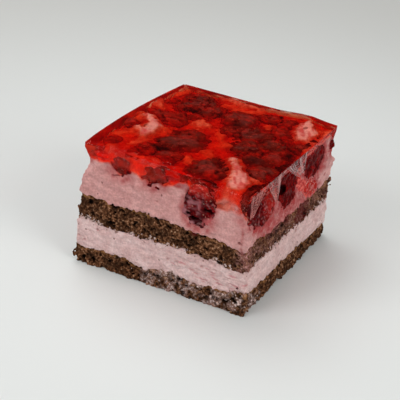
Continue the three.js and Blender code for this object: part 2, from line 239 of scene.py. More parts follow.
def noise(x, y, z, size, seed):
    """Smooth random values from -1 to 1 with lumps of `size` millimetres, one size or one for each axis."""
    table = np.random.default_rng(seed).uniform(-1, 1, (64, 64, 64)).astype(np.float32)
    cells = []
    for value, lump in zip((x, y, z), np.broadcast_to(size, 3)):
        place = np.asarray(value, np.float32) / np.float32(lump) + 640
        base = np.floor(place)
        part = place - base
        cells.append((base.astype(np.int32), part * part * (3 - 2 * part)))
    total = 0
    for corner in range(8):
        index = []
        weight = 1
        for axis, (base, part) in enumerate(cells):
            step = corner >> axis & 1
            index.append((base + step) % 64)
            weight = weight * (part if step else 1 - part)
        total = total + weight * table[tuple(index)]
    return total


def noises(x, y, z, *layers):
    """A sum of noises, each given as its amount, size and seed."""
    return sum(amount * noise(x, y, z, size, seed) for amount, size, seed in layers)


def smooth_max(a, b, width):
    return 0.5 * (a + b + np.sqrt((a - b) ** 2 + width * width))


def smooth_min(a, b, width):
    return -smooth_max(-a, -b, width)


def height_of(face, x, y):
    z = face["height"] + face["slope"][0] * x + face["slope"][1] * y
    for bx, by, lift, spread in face["bumps"]:
        z = z + lift * np.exp(-((x - bx) ** 2 + (y - by) ** 2) / (2 * spread * spread))
    return z


def ragged(face, x, y):
    """A face between two layers with a torn edge, the same for the layer under it and the one over it."""
    seed = face["seed"]
    return height_of(face, x, y) + RAGGED * noises(x, y, 0, (0.6, 2.4, seed), (0.9, 0.9, seed + 1))


def line_distance(line, u, v):
    """Distance from a line of (u, v, half width), less the half width there."""
    nearest = 99.0
    for (au, av, aw), (bu, bv, bw) in zip(line, line[1:]):
        du, dv = bu - au, bv - av
        t = np.clip(((u - au) * du + (v - av) * dv) / (du * du + dv * dv), 0, 1)
        away = np.sqrt((u - au - t * du) ** 2 + (v - av - t * dv) ** 2) - (aw + t * (bw - aw))
        nearest = np.minimum(nearest, away)
    return nearest


def ridge_height(cover, line, x, y):
    """Height of a ridge of mousse that comes to `cover` below the top of the jelly."""
    away = line_distance(line, x, y) + 0.9 * noise(x, y, 0, 1.9, 43) + 0.6 * noise(x, y, 0, 0.9, 44)
    return TOP - cover - RIDGE_SLOPE * smooth_max(away, 0, 0.35)


def mousse_top(x, y):
    z = height_of(MOUSSE_TOP, x, y)
    z = z + 0.6 * noise(x, y, 0, 3.4, 41) + 0.35 * noise(x, y, 0, 1.4, 42)
    ceiling = TOP - THINNEST_JELLY + 0.2 * noise(x, y, 0, 1.6, 45)
    z = smooth_min(z, ceiling - 0.8, 0.6)
    for cover, line in RIDGES:
        z = smooth_max(z, ridge_height(cover, line, x, y), 0.4)
    return smooth_min(z, ceiling, 0.3)


def veil(x, y):
    across = VEIL["half"] - np.abs(x - VEIL["x"]) + 0.8 * noise(x, 0, 0, 1.6, 55)
    return rise(across, 0.8) * rise(-28 - y)


def corner_at(k, z):
    corner = CORNERS[k % 4]
    share = z / TOP
    half = (WIDTH / 2, DEPTH / 2)
    return [
        corner["sign"][a] * half[a] + corner["foot"][a] + (corner["top"][a] - corner["foot"][a]) * share
        for a in (0, 1)
    ]


def side_distance(x, y, z, neck=1.0):
    """Distance out of the cut sides, negative inside the slice."""
    share = z / TOP
    neck_spread = np.where(z > NECK["height"], NECK["above"], NECK["below"])
    sunken = NECK["depth"] * bell(z - NECK["height"], neck_spread)
    right = NECK_SHARES["right"] - NECK_SHARES["right_fade"] * y / (DEPTH / 2)
    shares = (NECK_SHARES["front"], right, NECK_SHARES["back"], NECK_SHARES["left"])
    sides = []
    for k in range(4):
        (ax, ay), (bx, by) = corner_at(k, z), corner_at(k + 1, z)
        length = np.sqrt((bx - ax) ** 2 + (by - ay) ** 2)
        dx, dy = (bx - ax) / length, (by - ay) / length
        out = (x - ax) * dy - (y - ay) * dx
        if k == 3:
            along = np.clip(((x - ax) * dx + (y - ay) * dy) / length, 0, 1)
            out = out - LEFT_BULGE * share * np.sin(np.pi * along)
        if k == 2:
            out = out - BACK_BULGE["out"] * share * bell(x - BACK_BULGE["x"], BACK_BULGE["spread"])
        sides.append(out + neck * shares[k] * sunken)
    across = smooth_max(sides[1], sides[3], CORNER_ROUND)
    along = smooth_max(sides[0], sides[2], CORNER_ROUND)
    return smooth_max(across, along, CORNER_ROUND) - OUTSET


# ---- Grids and meshes ----
class Grid:
    """Sample points from `low` to `high` with a margin, as three broadcastable axes."""

    def __init__(self, low, high, cell):
        self.cell = cell
        self.low = np.array(low, float) - 2 * cell
        counts = np.ceil((np.array(high, float) - self.low) / cell).astype(int) + 3
        axes = [self.low[a] + cell * np.arange(counts[a]) for a in range(3)]
        self.x = axes[0].astype(np.float32)[:, None, None]
        self.y = axes[1].astype(np.float32)[None, :, None]
        self.z = axes[2].astype(np.float32)[None, None, :]
        self.xyz = (self.x, self.y, self.z)

    def stamp(self, field, centre, radius, add, stretch=(1, 1, 1)):
        """Adds a ball to the field, or cuts one out of it."""
        reach = (radius + self.cell) * np.array(stretch)
        window = []
        for a in range(3):
            first = max(int((centre[a] - reach[a] - self.low[a]) / self.cell), 0)
            last = max(int((centre[a] + reach[a] - self.low[a]) / self.cell) + 2, 0)
            window.append(slice(first, last))
        part = field[tuple(window)]
        if not part.size:
            return
        squares = [
            ((axis.ravel()[w] - c) / s) ** 2
            for axis, w, c, s in zip(self.xyz, window, centre, stretch)
        ]
        ball = np.sqrt(squares[0][:, None, None] + squares[1][None, :, None] + squares[2]) - radius
        if add:
            np.minimum(part, ball, out=part)
        else:
            np.maximum(part, -ball, out=part)


CORNER_STEPS = [(i, j, k) for i in (0, 1) for j in (0, 1) for k in (0, 1)]
CELL_EDGES = [
    (a, b)
    for a in range(8)
    for b in range(a + 1, 8)
    if sum(p != q for p, q in zip(CORNER_STEPS[a], CORNER_STEPS[b])) == 1
]


def surface(field, grid):
    """Points and quads of the field's zero level, by surface nets: a point in each cell it crosses."""
    inside = field < 0
    n = np.array(field.shape) - 1
    crossing = np.zeros(n, np.int8)
    for i, j, k in CORNER_STEPS:
        crossing += inside[i : n[0] + i, j : n[1] + j, k : n[2] + k]
    cells = np.argwhere((crossing > 0) & (crossing < 8))
    values = np.stack([field[tuple((cells + step).T)] for step in CORNER_STEPS], 1)
    total = np.zeros((len(cells), 3))
    hits = np.zeros(len(cells))
    for a, b in CELL_EDGES:
        va, vb = values[:, a], values[:, b]
        cut = (va < 0) != (vb < 0)
        t = np.where(cut, va / np.where(cut, va - vb, 1), 0)[:, None]
        place = np.array(CORNER_STEPS[a]) * (1 - t) + np.array(CORNER_STEPS[b]) * t
        total += np.where(cut[:, None], place, 0)
        hits += cut
    points = grid.low + grid.cell * (cells + total / hits[:, None])
    number = np.full(n, -1, np.int32)
    number[tuple(cells.T)] = np.arange(len(cells))
    quads = []
    for axis in range(3):
        u, v = (axis + 1) % 3, (axis + 2) % 3
        low = [slice(None)] * 3
        high = [slice(None)] * 3
        low[axis], high[axis] = slice(0, -1), slice(1, None)
        edges = np.argwhere(inside[tuple(low)] != inside[tuple(high)])
        edges = edges[(edges[:, u] > 0) & (edges[:, v] > 0)]
        edges = edges[(edges[:, u] < n[u]) & (edges[:, v] < n[v])]
        steps = np.zeros((4, 3), int)
        steps[:, u] = (-1, 0, 0, -1)
        steps[:, v] = (-1, -1, 0, 0)
        quad = np.stack([number[tuple((edges + s).T)] for s in steps], 1)
        outward = inside[tuple(edges.T)]
        quad[~outward] = quad[~outward][:, ::-1]
        quads.append(quad)
    return points, np.concatenate(quads)


def gather(points, quads, hidden):
    """Pulls each patch of hidden points together into one, and returns points, quads and triangles."""
    target = np.arange(len(points))
    points = points.copy()
    for patch in hidden:
        found = np.flatnonzero(patch)
        if len(found):
            target[found] = found[0]
            points[found[0]] = points[found].mean(0)
    quads = target[quads]
    following = np.roll(quads, -1, 1)
    same = quads == following
    whole = quads[same.sum(1) == 0]
    thin = same.sum(1) == 1
    narrow = quads[thin][~same[thin]].reshape(-1, 3)
    used = np.unique(np.concatenate([whole.ravel(), narrow.ravel()]))
    renumber = np.zeros(len(points), np.int64)
    renumber[used] = np.arange(len(used))
    return points[used], renumber[whole], renumber[narrow]


def make_piece(name, points, quads, triangles=None, values=None):
    """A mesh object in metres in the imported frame, with a float attribute for each entry of `values`."""
    triangles = np.zeros((0, 3), int) if triangles is None else triangles
    mesh = bpy.data.meshes.new(name)
    mesh.vertices.add(len(points))
    mesh.vertices.foreach_set("co", ((points + MIDDLE) * MM).astype(np.float32).ravel())
    corners = np.concatenate([quads.ravel(), triangles.ravel()]).astype(np.int32)
    sizes = np.concatenate([np.full(len(quads), 4), np.full(len(triangles), 3)])
    starts = np.concatenate([[0], np.cumsum(sizes)[:-1]]).astype(np.int32)
    mesh.loops.add(len(corners))
    mesh.loops.foreach_set("vertex_index", corners)
    mesh.polygons.add(len(sizes))
    mesh.polygons.foreach_set("loop_start", starts)
    mesh.polygons.foreach_set("use_smooth", np.ones(len(sizes), bool))
    mesh.update(calc_edges=True)
    mesh.validate()
    for key, numbers in (values or {}).items():
        attribute = mesh.attributes.new(key, "FLOAT", "POINT")
        attribute.data.foreach_set("value", np.asarray(numbers, np.float32))
    piece = bpy.data.objects.new(name, mesh)
    bpy.context.scene.collection.objects.link(piece)
    print(name, len(quads) * 2 + len(triangles), "triangles")
    return piece


def dress(piece, material, nodes=()):
    piece.data.materials.append(material)
    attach(piece, "root")
    if nodes:
        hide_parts(*nodes)


# ---- Layers ----
HALF_X, HALF_Y = WIDTH / 2 + 2.6, DEPTH / 2 + 3.2
RAGGED = 0.75  # how far the faces between the layers wander, in millimetres
HIDDEN_DEPTH = 2.2  # nothing shows further in than this under another layer


def layer_grid(name, margin=0.0):
    low_z, high_z, cell = LAYERS[name]
    return Grid((-HALF_X, -HALF_Y, low_z - margin), (HALF_X, HALF_Y, high_z + margin), cell)


def hidden_patches(points, height, caps):
    """Masks of the points in the middle of a layer's hidden top and bottom."""
    middle = side_distance(*points.T, neck=0) < -HIDDEN_DEPTH
    upper = points[:, 2] > height
    return [middle & (upper if cap == "top" else ~upper) for cap in caps]


def layer_surface(field, grid, height, caps=("top", "bottom")):
    """A layer's points, quads and triangles, with what other layers hide pulled together."""
    points, quads = surface(field, grid)
    return gather(points, quads, hidden_patches(points, height, caps))


def rim_points(count, low, high, seed, spread=0.5):
    """Random places on the cut sides between two heights."""
    rng = np.random.default_rng(seed)
    side = rng.integers(0, 4, count)
    along = rng.uniform(0, 1, count)
    z = rng.uniform(low, high, count)
    places = np.zeros((count, 3))
    for k in range(4):
        chosen = side == k
        a = np.stack(corner_at(k, z[chosen]), 1)
        b = np.stack(corner_at(k + 1, z[chosen]), 1)
        places[chosen, :2] = a + (b - a) * along[chosen, None]
    places[:, 2] = z
    places[:, :2] += rng.normal(0, spread, (count, 2))
    return places, rng


def touched(points, centres, reach, stretch=(1, 1, 1)):
    """How near each point is to the nearest of some small spots, from 0 to 1."""
    amount = np.zeros(len(points), np.float32)
    points = points.astype(np.float32)
    for centre, size in zip(centres, np.broadcast_to(reach, len(centres))):
        near = np.flatnonzero(np.abs(points - np.float32(centre)).max(1) < size * max(stretch) * 1.5)
        away = np.sqrt((((points[near] - centre) / stretch) ** 2).sum(1)) / size
        amount[near] = np.maximum(amount[near], np.clip(1.5 - away, 0, 1))
    return amount


def cut_pits(grid, field, low, high, seed, size):
    """Cuts small open holes into the sides of the cream or the mousse."""
    pits, rng = rim_points(420, low, high, seed, 0.25)
    for place, radius in zip(pits, rng.gamma(2.0, size, len(pits)) + 0.1):
        grid.stamp(field, place, min(radius, 0.7), add=False, stretch=(1.2, 1.2, 0.8))


def cut_pores(grid, field, low, high, seed):
    """Cuts a sponge's pores into its sides."""
    pores, rng = rim_points(int(1900 * (high - low) / 9), low, high, seed)
    for place, radius in zip(pores, rng.gamma(4.0, 0.09, len(pores)) + 0.16):
        grid.stamp(field, place, min(radius, 1.1), add=False, stretch=(1, 1, rng.uniform(0.55, 0.9)))


def smear_amount(x, y, z):
    """Where cream was dragged over the base sponge: the right half of the front, and thinly elsewhere."""
    front = near_front(y) * (bell(x - 5, 6.5) + 0.8 * bell(x - 22, 5))
    right = 0.6 * near_right(x) * bell(y + 26, 5)
    patches = noise(x, y, z, 2.4, 61) + 0.8 * noise(x, y, z, 1.0, 62)
    return np.clip((front + right) * 0.95 - 0.34 + 0.6 * patches, 0, 1) * (front + right > 0.2)


def haze_amount(x, y, z):
    """The thin grey-pink film of cream that the knife drew down the right side of the middle sponge."""
    right = rise(x - 28.5, 0.8)
    corner = 1.4 * bell(x - 29.5, 1.6) * near_front(y)
    patches = 0.5 + 0.5 * noise(x, y, z, 2.6, 63) + 0.35 * noise(x, y, z, 0.9, 64)
    return np.clip((0.42 * right + corner) * patches, 0, 1)


def stick_grains(grid, field):
    """Adds grains of cream to the base sponge, most where cream was dragged, and says where they are."""
    grains, rng = rim_points(3600, 0.4, 7.6, 66, 0.2)
    corner = bell(grains[:, 0] - 26, 3) * bell(grains[:, 1] + 31, 2)
    chance = 0.2 * smear_amount(*grains.T) + 0.1 * corner + 0.004
    grains = grains[rng.uniform(0, 1, len(grains)) < chance]
    sizes = rng.gamma(2.0, 0.06, len(grains)) + 0.14
    for place, radius in zip(grains, sizes):
        grid.stamp(field, place, radius, add=True, stretch=tuple(rng.uniform(0.7, 1.4, 3)))
    return grains, sizes


def creamed_crumbs(points, low_face, low_z):
    """Crumbs of the middle sponge that have cream on them, low down where it meets the cream."""
    crumbs, rng = rim_points(4000, low_z - 0.2, low_z + 3.4, 67, 0.2)
    above = crumbs[:, 2] - ragged(low_face, crumbs[:, 0], crumbs[:, 1])
    chance = bell(above - 0.4, 0.7) * np.clip(0.5 + noise(*crumbs.T, 4.0, 69), 0, 1)
    crumbs = crumbs[rng.uniform(0, 1, len(crumbs)) < chance]
    return 0.65 * touched(points, crumbs, rng.uniform(0.25, 0.55, len(crumbs)))


def sponge_juice(x, y, z):
    """Juice that has run into the middle sponge, under the berries of the right side and the front."""
    juice = 1.5 * near_right(x) * bell(y - 7.5, 5) * bell(z - 20.5, 3.4)
    juice = juice + near_right(x) * bell(y + 8, 9) * bell(z - 23.4, 1.3)
    juice = juice + 0.6 * near_front(y) * bell(x - 11, 5) * bell(z - 24.4, 0.8)
    return juice * np.clip(0.9 + 0.8 * noise(x, y, z, 2.0, 68), 0, 2)


def sponge_piece(name, low_face, high_face, seed, material):
    """One of the two sponges. The base has no face under it, and is cut flat where it stands."""
    base = low_face is None
    low_z, high_z, _ = LAYERS[name]
    grid = layer_grid(name, 0.6)
    x, y, z = grid.xyz
    crumb = noises(x, y, z, (0.45, 3.4, seed), (0.4, 1.6, seed + 1), (0.5, 0.8, seed + 2))
    out = side_distance(x, y, z) + crumb + 0.05
    top = ragged(high_face, x, y) + 0.12
    bottom = 0 * x if base else ragged(low_face, x, y) - 0.12
    field = np.maximum(out, np.maximum(z - top, bottom - z)).astype(np.float32)
    cut_pores(grid, field, low_z, high_z, seed + 4)
    if base:
        field = np.maximum(field, 0.0 - z)
        grains, sizes = stick_grains(grid, field)
    points, quads, triangles = layer_surface(field, grid, (low_z + high_z) / 2)
    px, py, pz = points.T
    values = {
        # Painted shade in the pores: darker the further a point lies in from the cut side.
        "depth": rise(-side_distance(px, py, pz), 1.6),
        "rosy": np.full(len(points), 0.0 if base else 1.0),
        "edge": np.clip(1.2 - (ragged(high_face, px, py) - pz), 0, 1),
        "smear": smear_amount(px, py, pz) if base else haze_amount(px, py, pz),
        "juice": 0 * px if base else sponge_juice(px, py, pz),
    }
    if base:
        values["grain"] = touched(points, grains, sizes + 0.1)
    else:
        values["grain"] = creamed_crumbs(points, low_face, low_z)
    dress(make_piece(name, points, quads, triangles, values), material, [name])


def cream_piece(material):
    grid = layer_grid("lower_cream")
    x, y, z = grid.xyz
    dragged = bell(x - 17, 11) * near_front(y, 6)
    relief = noises(x, y, z, (0.28, (5, 5, 2.6), 71), (0.26, (2.4, 2.4, 1.2), 72), (0.22, 0.85, 73))
    relief = relief + 0.4 * dragged * noise(x, y, z, (9, 9, 0.7), 74)
    relief = relief + 0.4 * rise(-28 - x, 2) * noise(x, y, z, 2.4, 78)
    out = side_distance(x, y, z) + relief - 0.1
    top = ragged(CREAM_TOP, x, y) + 0.1
    bottom = ragged(BASE_TOP, x, y) - 0.1
    field = smooth_max(out, np.maximum(z - top, bottom - z), 0.3).astype(np.float32)
    cut_pits(grid, field, 6.5, 16, 75, 0.09)
    points, quads, triangles = layer_surface(field, grid, 11)
    strokes, rng = rim_points(500, 7.5, 14.5, 76, 0.0)
    chance = (strokes[:, 1] < -29) * 0.5 * bell(strokes[:, 0] - 17, 9)
    strokes = strokes[rng.uniform(0, 1, len(strokes)) < chance]
    dots, rng = rim_points(3000, 6, 17, 77, 0.0)
    below = ragged(CREAM_TOP, dots[:, 0], dots[:, 1]) - dots[:, 2]
    above = dots[:, 2] - ragged(BASE_TOP, dots[:, 0], dots[:, 1])
    chance = 0.02 + 0.6 * bell(below - 0.3, 0.5) + 0.35 * bell(above - 0.3, 0.5)
    dots = dots[rng.uniform(0, 1, len(dots)) < chance]
    values = {
        # Painted shade in the pits: darker the further a point lies in from the cut side.
        "depth": rise(-side_distance(*points.T), 1.2),
        "stroke": touched(points, strokes, rng.uniform(0.25, 0.5, len(strokes)), (3.2, 3.2, 0.8)),
        "speck": touched(points, dots, rng.uniform(0.15, 0.4, len(dots))),
    }
    piece = make_piece("lower_cream", points, quads, triangles, values)
    dress(piece, material, ["lower_cream"])


# ---- Raspberries ----
def berry_turn(berry):
    yaw, tip = math.radians(berry["yaw"]), math.radians(berry["tip"])
    return np.array(Matrix.Rotation(yaw, 3, "Z") @ Matrix.Rotation(tip, 3, "X"))


def berry_places(x, y, z, berry):
    """Places in a berry's own frame, in which its length runs along Y."""
    at = np.array(berry["at"], float)
    offset = np.stack(np.broadcast_arrays(x - at[0], y - at[1], z - at[2]), -1)
    return offset @ berry_turn(berry)


def drupelets(half, seed):
    """Centres and radii of a berry's drupelets in its own frame, in staggered rows round its length."""
    rng = np.random.default_rng(seed)
    size = sum(half) / 3
    radius = size * DRUPELET
    rows = max(int(round(math.pi * half[1] / (1.62 * radius))), 4)
    places = []
    for row in range(1, rows):
        angle = math.pi * row / rows
        ring = math.sin(angle)
        along = -math.cos(angle)
        count = max(int(round(2 * math.pi * ring * (half[0] + half[2]) / 2 / (1.75 * radius))), 1)
        for k in range(count):
            turn = 2 * math.pi * (k + 0.5 * (row % 2) + rng.uniform(-0.14, 0.14)) / count
            taper = 1 - BERRY_TAPER * along
            reach = 0.86 + rng.uniform(-0.04, 0.04)
            centre = (
                half[0] * ring * taper * math.cos(turn) * reach,
                half[1] * (along + rng.uniform(-0.03, 0.03)) * 0.9,
                half[2] * ring * taper * math.sin(turn) * reach,
            )
            places.append((*centre, radius * rng.uniform(0.85, 1.12)))
    places.append((0, half[1] * 0.86, 0, radius))
    return np.array(places)


def berry_field(x, y, z, berry, seed, blend=0.12):
    """A berry's field, with the distance to its nearest drupelet's middle as a share of its radius."""
    local = berry_places(x, y, z, berry).astype(np.float32)
    half = np.array(berry["half"])
    taper = 1 - BERRY_TAPER * np.clip(local[..., 1] / half[1], -1, 1)
    scaled = np.stack([local[..., 0] / taper, local[..., 1], local[..., 2] / taper], -1) / half
    length = np.sqrt((scaled**2).sum(-1)) + 1e-6
    core = (length - 0.86) * half.min()
    nearest = np.full(core.shape, 9.0, np.float32)
    knobs = np.full(core.shape, 99.0, np.float32)
    for cx, cy, cz, radius in drupelets(berry["half"], seed):
        d = np.sqrt((local[..., 0] - cx) ** 2 + (local[..., 1] - cy) ** 2 + (local[..., 2] - cz) ** 2)
        knobs = np.minimum(knobs, d - radius)
        nearest = np.minimum(nearest, d / radius)
    field = smooth_min(core, knobs, blend)
    if "hollow" in berry:
        hollow = (local - half * np.array([0, HOLLOW["middle"], 0])) / (half * np.array(HOLLOW["share"]))
        gap = (1 - np.sqrt((hollow**2).sum(-1))) * half[0] * HOLLOW["share"][0]
        field = smooth_max(field, gap, 0.3)
    return field, nearest


def berry_box(berry, margin):
    reach = np.abs(berry_turn(berry)) @ np.array(berry["half"]) * (1 + BERRY_TAPER) + margin
    return np.array(berry["at"]) - reach, np.array(berry["at"]) + reach


# How pale the torn flesh is and how bright a red, for the berries that differ from the rest. Two more,
# front_1 and right_1, are redder in some places than in others.
PALENESS = {"front_1": 0.25, "right_1": 0.3, "right_5": 0.5}
PLAIN_PALENESS = 0.0
REDNESS = {"front_2": 0.7, "front_3": 0.4, "right_5": 0.9}
PLAIN_REDNESS = 0.1


def cut_holes(field, x, y, z, seed):
    """The slits and holes of the front berry."""
    ragged_edge = 0.4 * noise(x, y, z, 1.0, seed)
    for centre, half in FRONT_HOLES:
        hole = np.sqrt(sum(((axis - c) / h) ** 2 for axis, c, h in zip((x, y, z), centre, half)))
        field = np.maximum(field, (1 + ragged_edge - hole) * min(half))
    return field


def front_berry_looks(x, y, z, seed):
    """Bright red at the front berry's top, milky below it, and smeared with cream low on the right."""
    red = rise(z - 36.5, 1.5) * np.clip((17 - x) / 2, 0.3, 1)
    lower = rise(37.5 - z, 2) * np.clip((16 - x) / 3, 0.3, 1) * np.clip((14.5 - x) / 2, 0.2, 1)
    milky = lower * np.clip(0.3 + 1.5 * noise(x, y, z, (1.6, 1.6, 0.9), seed), 0, 1)
    over = np.minimum((x - 15.0) / 1.5, (32.0 - z) / 1.2)
    smeared = np.clip(over + 0.8 * noise(x, y, z, 1.5, seed + 1), 0, 1)
    return {"red": red, "milky": milky, "smeared": smeared}


def cut_berry(name, berry, seed, material):
    wet = "wet" in berry
    seen = name.startswith(("front", "right"))
    grid = Grid(*berry_box(berry, 0.4), BERRY_CELLS["seen" if seen else "hidden"])
    x, y, z = grid.xyz
    field, nearest = berry_field(x, y, z, berry, seed)
    torn = noises(x, y, z, (0.55, 2.2, seed + 50), (0.4, 1.0, seed + 51), (0.22, 0.55, seed + 52))
    face = side_distance(x, y, z) + torn * (1.6 if wet else 1.0)
    face = face + 0.25 * np.clip(nearest - 0.8, 0, 0.6) - 0.1 + (WET_DEPTH if wet else 0)
    field = field + (1.3 if wet else 0.3) * noise(x, y, z, 1.6, seed + 53)
    field = smooth_max(field, face, 0.2)
    field = np.maximum(field, z - (TOP - 0.15))
    if name == "front_1":
        field = cut_holes(field, x, y, z, seed + 55)
    points, quads = surface(field.astype(np.float32), grid)
    px, py, pz = points.T
    out = side_distance(px, py, pz) + (WET_DEPTH if wet else 0)
    near_face = np.flatnonzero(out > -0.9)
    seeds = points[np.random.default_rng(seed + 54).choice(near_face, 26)]
    red = REDNESS.get(name, PLAIN_REDNESS)
    values = {
        "flesh": np.clip(1 + out / 1.3, 0, 1),
        # Painted shade in the holes and hollows: darker the further a point lies in behind the cut face.
        "pit_shade": rise(-out, 1.8),
        "seed": touched(points, seeds, 0.32),
        "pale": np.full(len(points), PALENESS.get(name, PLAIN_PALENESS)),
        "red": np.full(len(points), red),
        "milky": np.zeros(len(points)),
        "smeared": np.zeros(len(points)),
    }
    if wet:
        values["red"] = red * np.clip((pz - 36.8) / 2 + 0.9 * noise(px, py, pz, 1.3, seed + 58), 0, 1)
    if name == "right_1":
        values["red"] = 0.05 + 0.6 * rise(py + 21, 4)
    if name == "front_1":
        values.update(front_berry_looks(px, py, pz, seed + 56))
    piece = make_piece("raspberry_" + name, points, quads, None, values)
    dress(piece, material, ["raspberry_" + name])


def sunk_berries(material):
    """All the raspberries under the jelly, as one mesh of closed shells, cut off flat inside the mousse."""
    all_points, all_quads, tones, shades = [], [], [], []
    start = 0
    for number, (x0, y0, hx, hy, hz, yaw, cover, tone) in enumerate(SUNK_BERRIES):
        berry = {"at": (x0, y0, TOP - cover - hz), "half": (hx, hy, hz), "yaw": yaw}
        berry["tip"] = (number * 37) % 13 - 6
        low, high = berry_box(berry, 0.5)
        low[2] = SUNK_FLOOR - 0.5
        grid = Grid(low, high, BERRY_CELLS["sunk"])
        x, y, z = grid.xyz
        sizes = ((0.9, 3.6, 230 + number), (0.65, 1.6, 260 + number), (0.35, 0.9, 320 + number))
        field = berry_field(x, y, z, berry, 200 + number, 0.4)[0] + noises(x, y, z, *sizes)
        field = smooth_max(field, side_distance(x, y, z) + broken_edge(x, y, z) + 0.7, 0.8)
        field = smooth_max(field, z - (TOP - 0.7), 0.3)
        field = np.maximum(field, SUNK_FLOOR - z)
        points, quads = surface(field.astype(np.float32), grid)
        all_points.append(points)
        all_quads.append(quads + start)
        px, py, pz = points.T
        # Painted light: each berry is made redder and lighter lower down, as if lit through the jelly round
        # it.
        fade = rise(TOP - cover - pz, 3.0)
        mottle = 0.5 * noise(px, py, pz, 3.0, 290) + 0.45 * noise(px, py, pz, (1.6, 0.9, 0.9), 291)
        tones.append(np.clip(tone + 0.1 + 0.45 * fade + mottle, 0, 1))
        # Painted shade in the darkest places among the berries.
        shade = sum(bell(px - dx, rx) * bell(py - dy, ry) for dx, dy, rx, ry in DARK_PLACES)
        shades.append(np.clip(shade + 0.3 * noise(px, py, pz, 1.6, 292), 0, 1))
        start += len(points)
    values = {"tone": np.concatenate(tones), "shade": np.concatenate(shades)}
    points, quads = np.concatenate(all_points), np.concatenate(all_quads)
    dress(make_piece("sunk_raspberries", points, quads, None, values), material)


def beds(x, y, z, grow, wet=True):
    """The field of the cut berries' smooth beds, grown by `grow`, with or without the wet ones."""
    total = np.full(np.broadcast_shapes(x.shape, y.shape, z.shape), 99.0, np.float32)
    for berry in CUT_BERRIES.values():
        if "wet" in berry and not wet:
            continue
        half = np.array(berry["half"]) * 1.02 + grow - (WET_OVERLAP if "wet" in berry else 0)
        length = np.sqrt(((berry_places(x, y, z, berry) / half) ** 2).sum(-1))
        total = np.minimum(total, (length - 1) * half.min())
    return total


# ---- Mousse and jelly ----
# Dark bits in the mousse of the front, as x, z and half size, thin dark threads of berry, as x and z, and
# two dark seeds on top.
FRONT_BITS = [
    (-22.5, 31, 0.4), (-24, 26.5, 0.35), (-14, 27, 0.3), (-11, 27, 0.35), (-0.5, 33.3, 0.4), (24, 32, 0.4)
]
FRONT_THREADS = [(-18.5, 34.6), (-17.2, 35.0), (-8.2, 34.3), (-6.6, 34.9)]
TOP_SEEDS = [(22.0, 23.8, 42.0), (-22.4, -6.4, 41.4)]
# Patches of juice on the front: x, z, and how far each reaches along X and Z.
FRONT_STAINS = [(-8, 34, 9, 3), (8, 29, 4, 5), (25.5, 31.5, 3, 2)]


def ridge_amount(ridges, x, y):
    """Where the mousse stands up in one of the ridges, from 0 to 1."""
    amount = 0.0
    for cover, line in ridges:
        amount = np.maximum(amount, rise(ridge_height(cover, line, x, y) - (TOP - cover - 1.2), 0.8))
    return amount


def pulp_amount(x, y):
    """Red pulp and juice on top of the mousse, round the sunk raspberries and in patches between them."""
    amount = 0.0
    for bx, by, hx, hy, *_ in SUNK_BERRIES:
        amount = np.maximum(amount, np.clip(1.9 - np.hypot(x - bx, y - by) / ((hx + hy) / 2), 0, 1))
    patches = 0.75 + 0.9 * noise(x, y, 0, 5.0, 46) + 0.7 * noise(x, y, 0, 1.9, 47)
    return np.clip(0.7 * amount + 0.75 * patches, 0, 1) * (1 - ridge_amount(RIDGES, x, y))


def juice_stain_and_rim_shade(x, y, z):
    """How far juice has stained the mousse: near the berries, most of all under them and on the right. It
    also holds painted shade on the left and back rims high up.
    """
    near = np.minimum(beds(x, y, z, 0.0), beds(x, y, z + 1.6, 0.0))
    stain = np.clip(1 - near / 3.8, 0, 1) ** 1.4 * np.where(y < -29, 0.7, 1)
    right = 0.8 * rise(x - 27, 2) * (1 - rise(y - 18, 6)) * np.clip((y + 31) / 8, 0.1, 1)
    # Painted shade: the left and back rims high up are darkened in the juice's colour.
    painted_rim_shade = (z > 36) * np.maximum(x < -26, y > 28) * np.clip(1.4 + side_distance(x, y, z) / 1.2, 0, 1)
    painted_rim_shade = painted_rim_shade * np.clip(0.8 + noise(x, y, 0, 5.0, 48), 0.2, 1)
    patches = sum(bell(x - px, rx) * bell(z - pz, rz) for px, pz, rx, rz in FRONT_STAINS)
    front = 0.3 * near_front(y, 3) * patches * np.clip(0.8 + noise(x, y, z, 3.0, 49), 0, 1.6)
    pulp = 0.9 * rise(z - 36.5, 1.5) * pulp_amount(x, y)
    pale = ridge_amount(PALE_RIDGES, x, y)
    top = rise(z - 37.2) * (1 - pale) * np.clip(0.42 + 0.4 * noise(x, y, 0, 1.8, 54), 0, 1)
    streaks = 0.35 + 1.5 * noise(0.86 * x + 0.5 * y, 0.5 * x - 0.86 * y, 0, (0.9, 4.5, 1), 50)
    streaks = np.clip(streaks, 0, 0.8) * pale * (z > 37)
    drip = 0.6 * bell(x - 28.4, 0.5) * bell(y + 31.5, 2) * rise(34 - z, 3)
    return np.maximum.reduce([stain, right, painted_rim_shade, front, pulp, top, streaks, drip])


# Torn pulp on the right side's mousse, as places along it: y, z and half width.
BRIGHT_PULP = [
    (-0.5, 36.4, 1.0), (2.4, 34.8, 2.2), (4.6, 32.0, 1.7), (9.0, 28.8, 1.6), (12.0, 25.8, 1.8),
    (17.5, 23.8, 1.0),
]


def bright_pulp(x, y, z):
    away = line_distance(BRIGHT_PULP, y, z) + 0.9 * noise(x, y, z, 1.8, 51) + 0.6 * noise(x, y, z, 0.8, 52)
    return np.clip(0.7 - away, 0, 1) * (x > 25)


def front_lip(x, y, z):
    """Where the mousse under the jelly's front is soaked red, just behind its face."""
    near_top = np.clip(1.4 - (mousse_top(x, y) - z) / 0.4, 0, 1)
    behind = rise(-side_distance(x, y, z) - 0.3, 0.4) * rise(-25.5 - y, 2)
    return near_top * behind * (1 - ridge_amount(PALE_RIDGES, x, y)) * (1 - 0.8 * bell(x - VEIL["x"], 2.2))


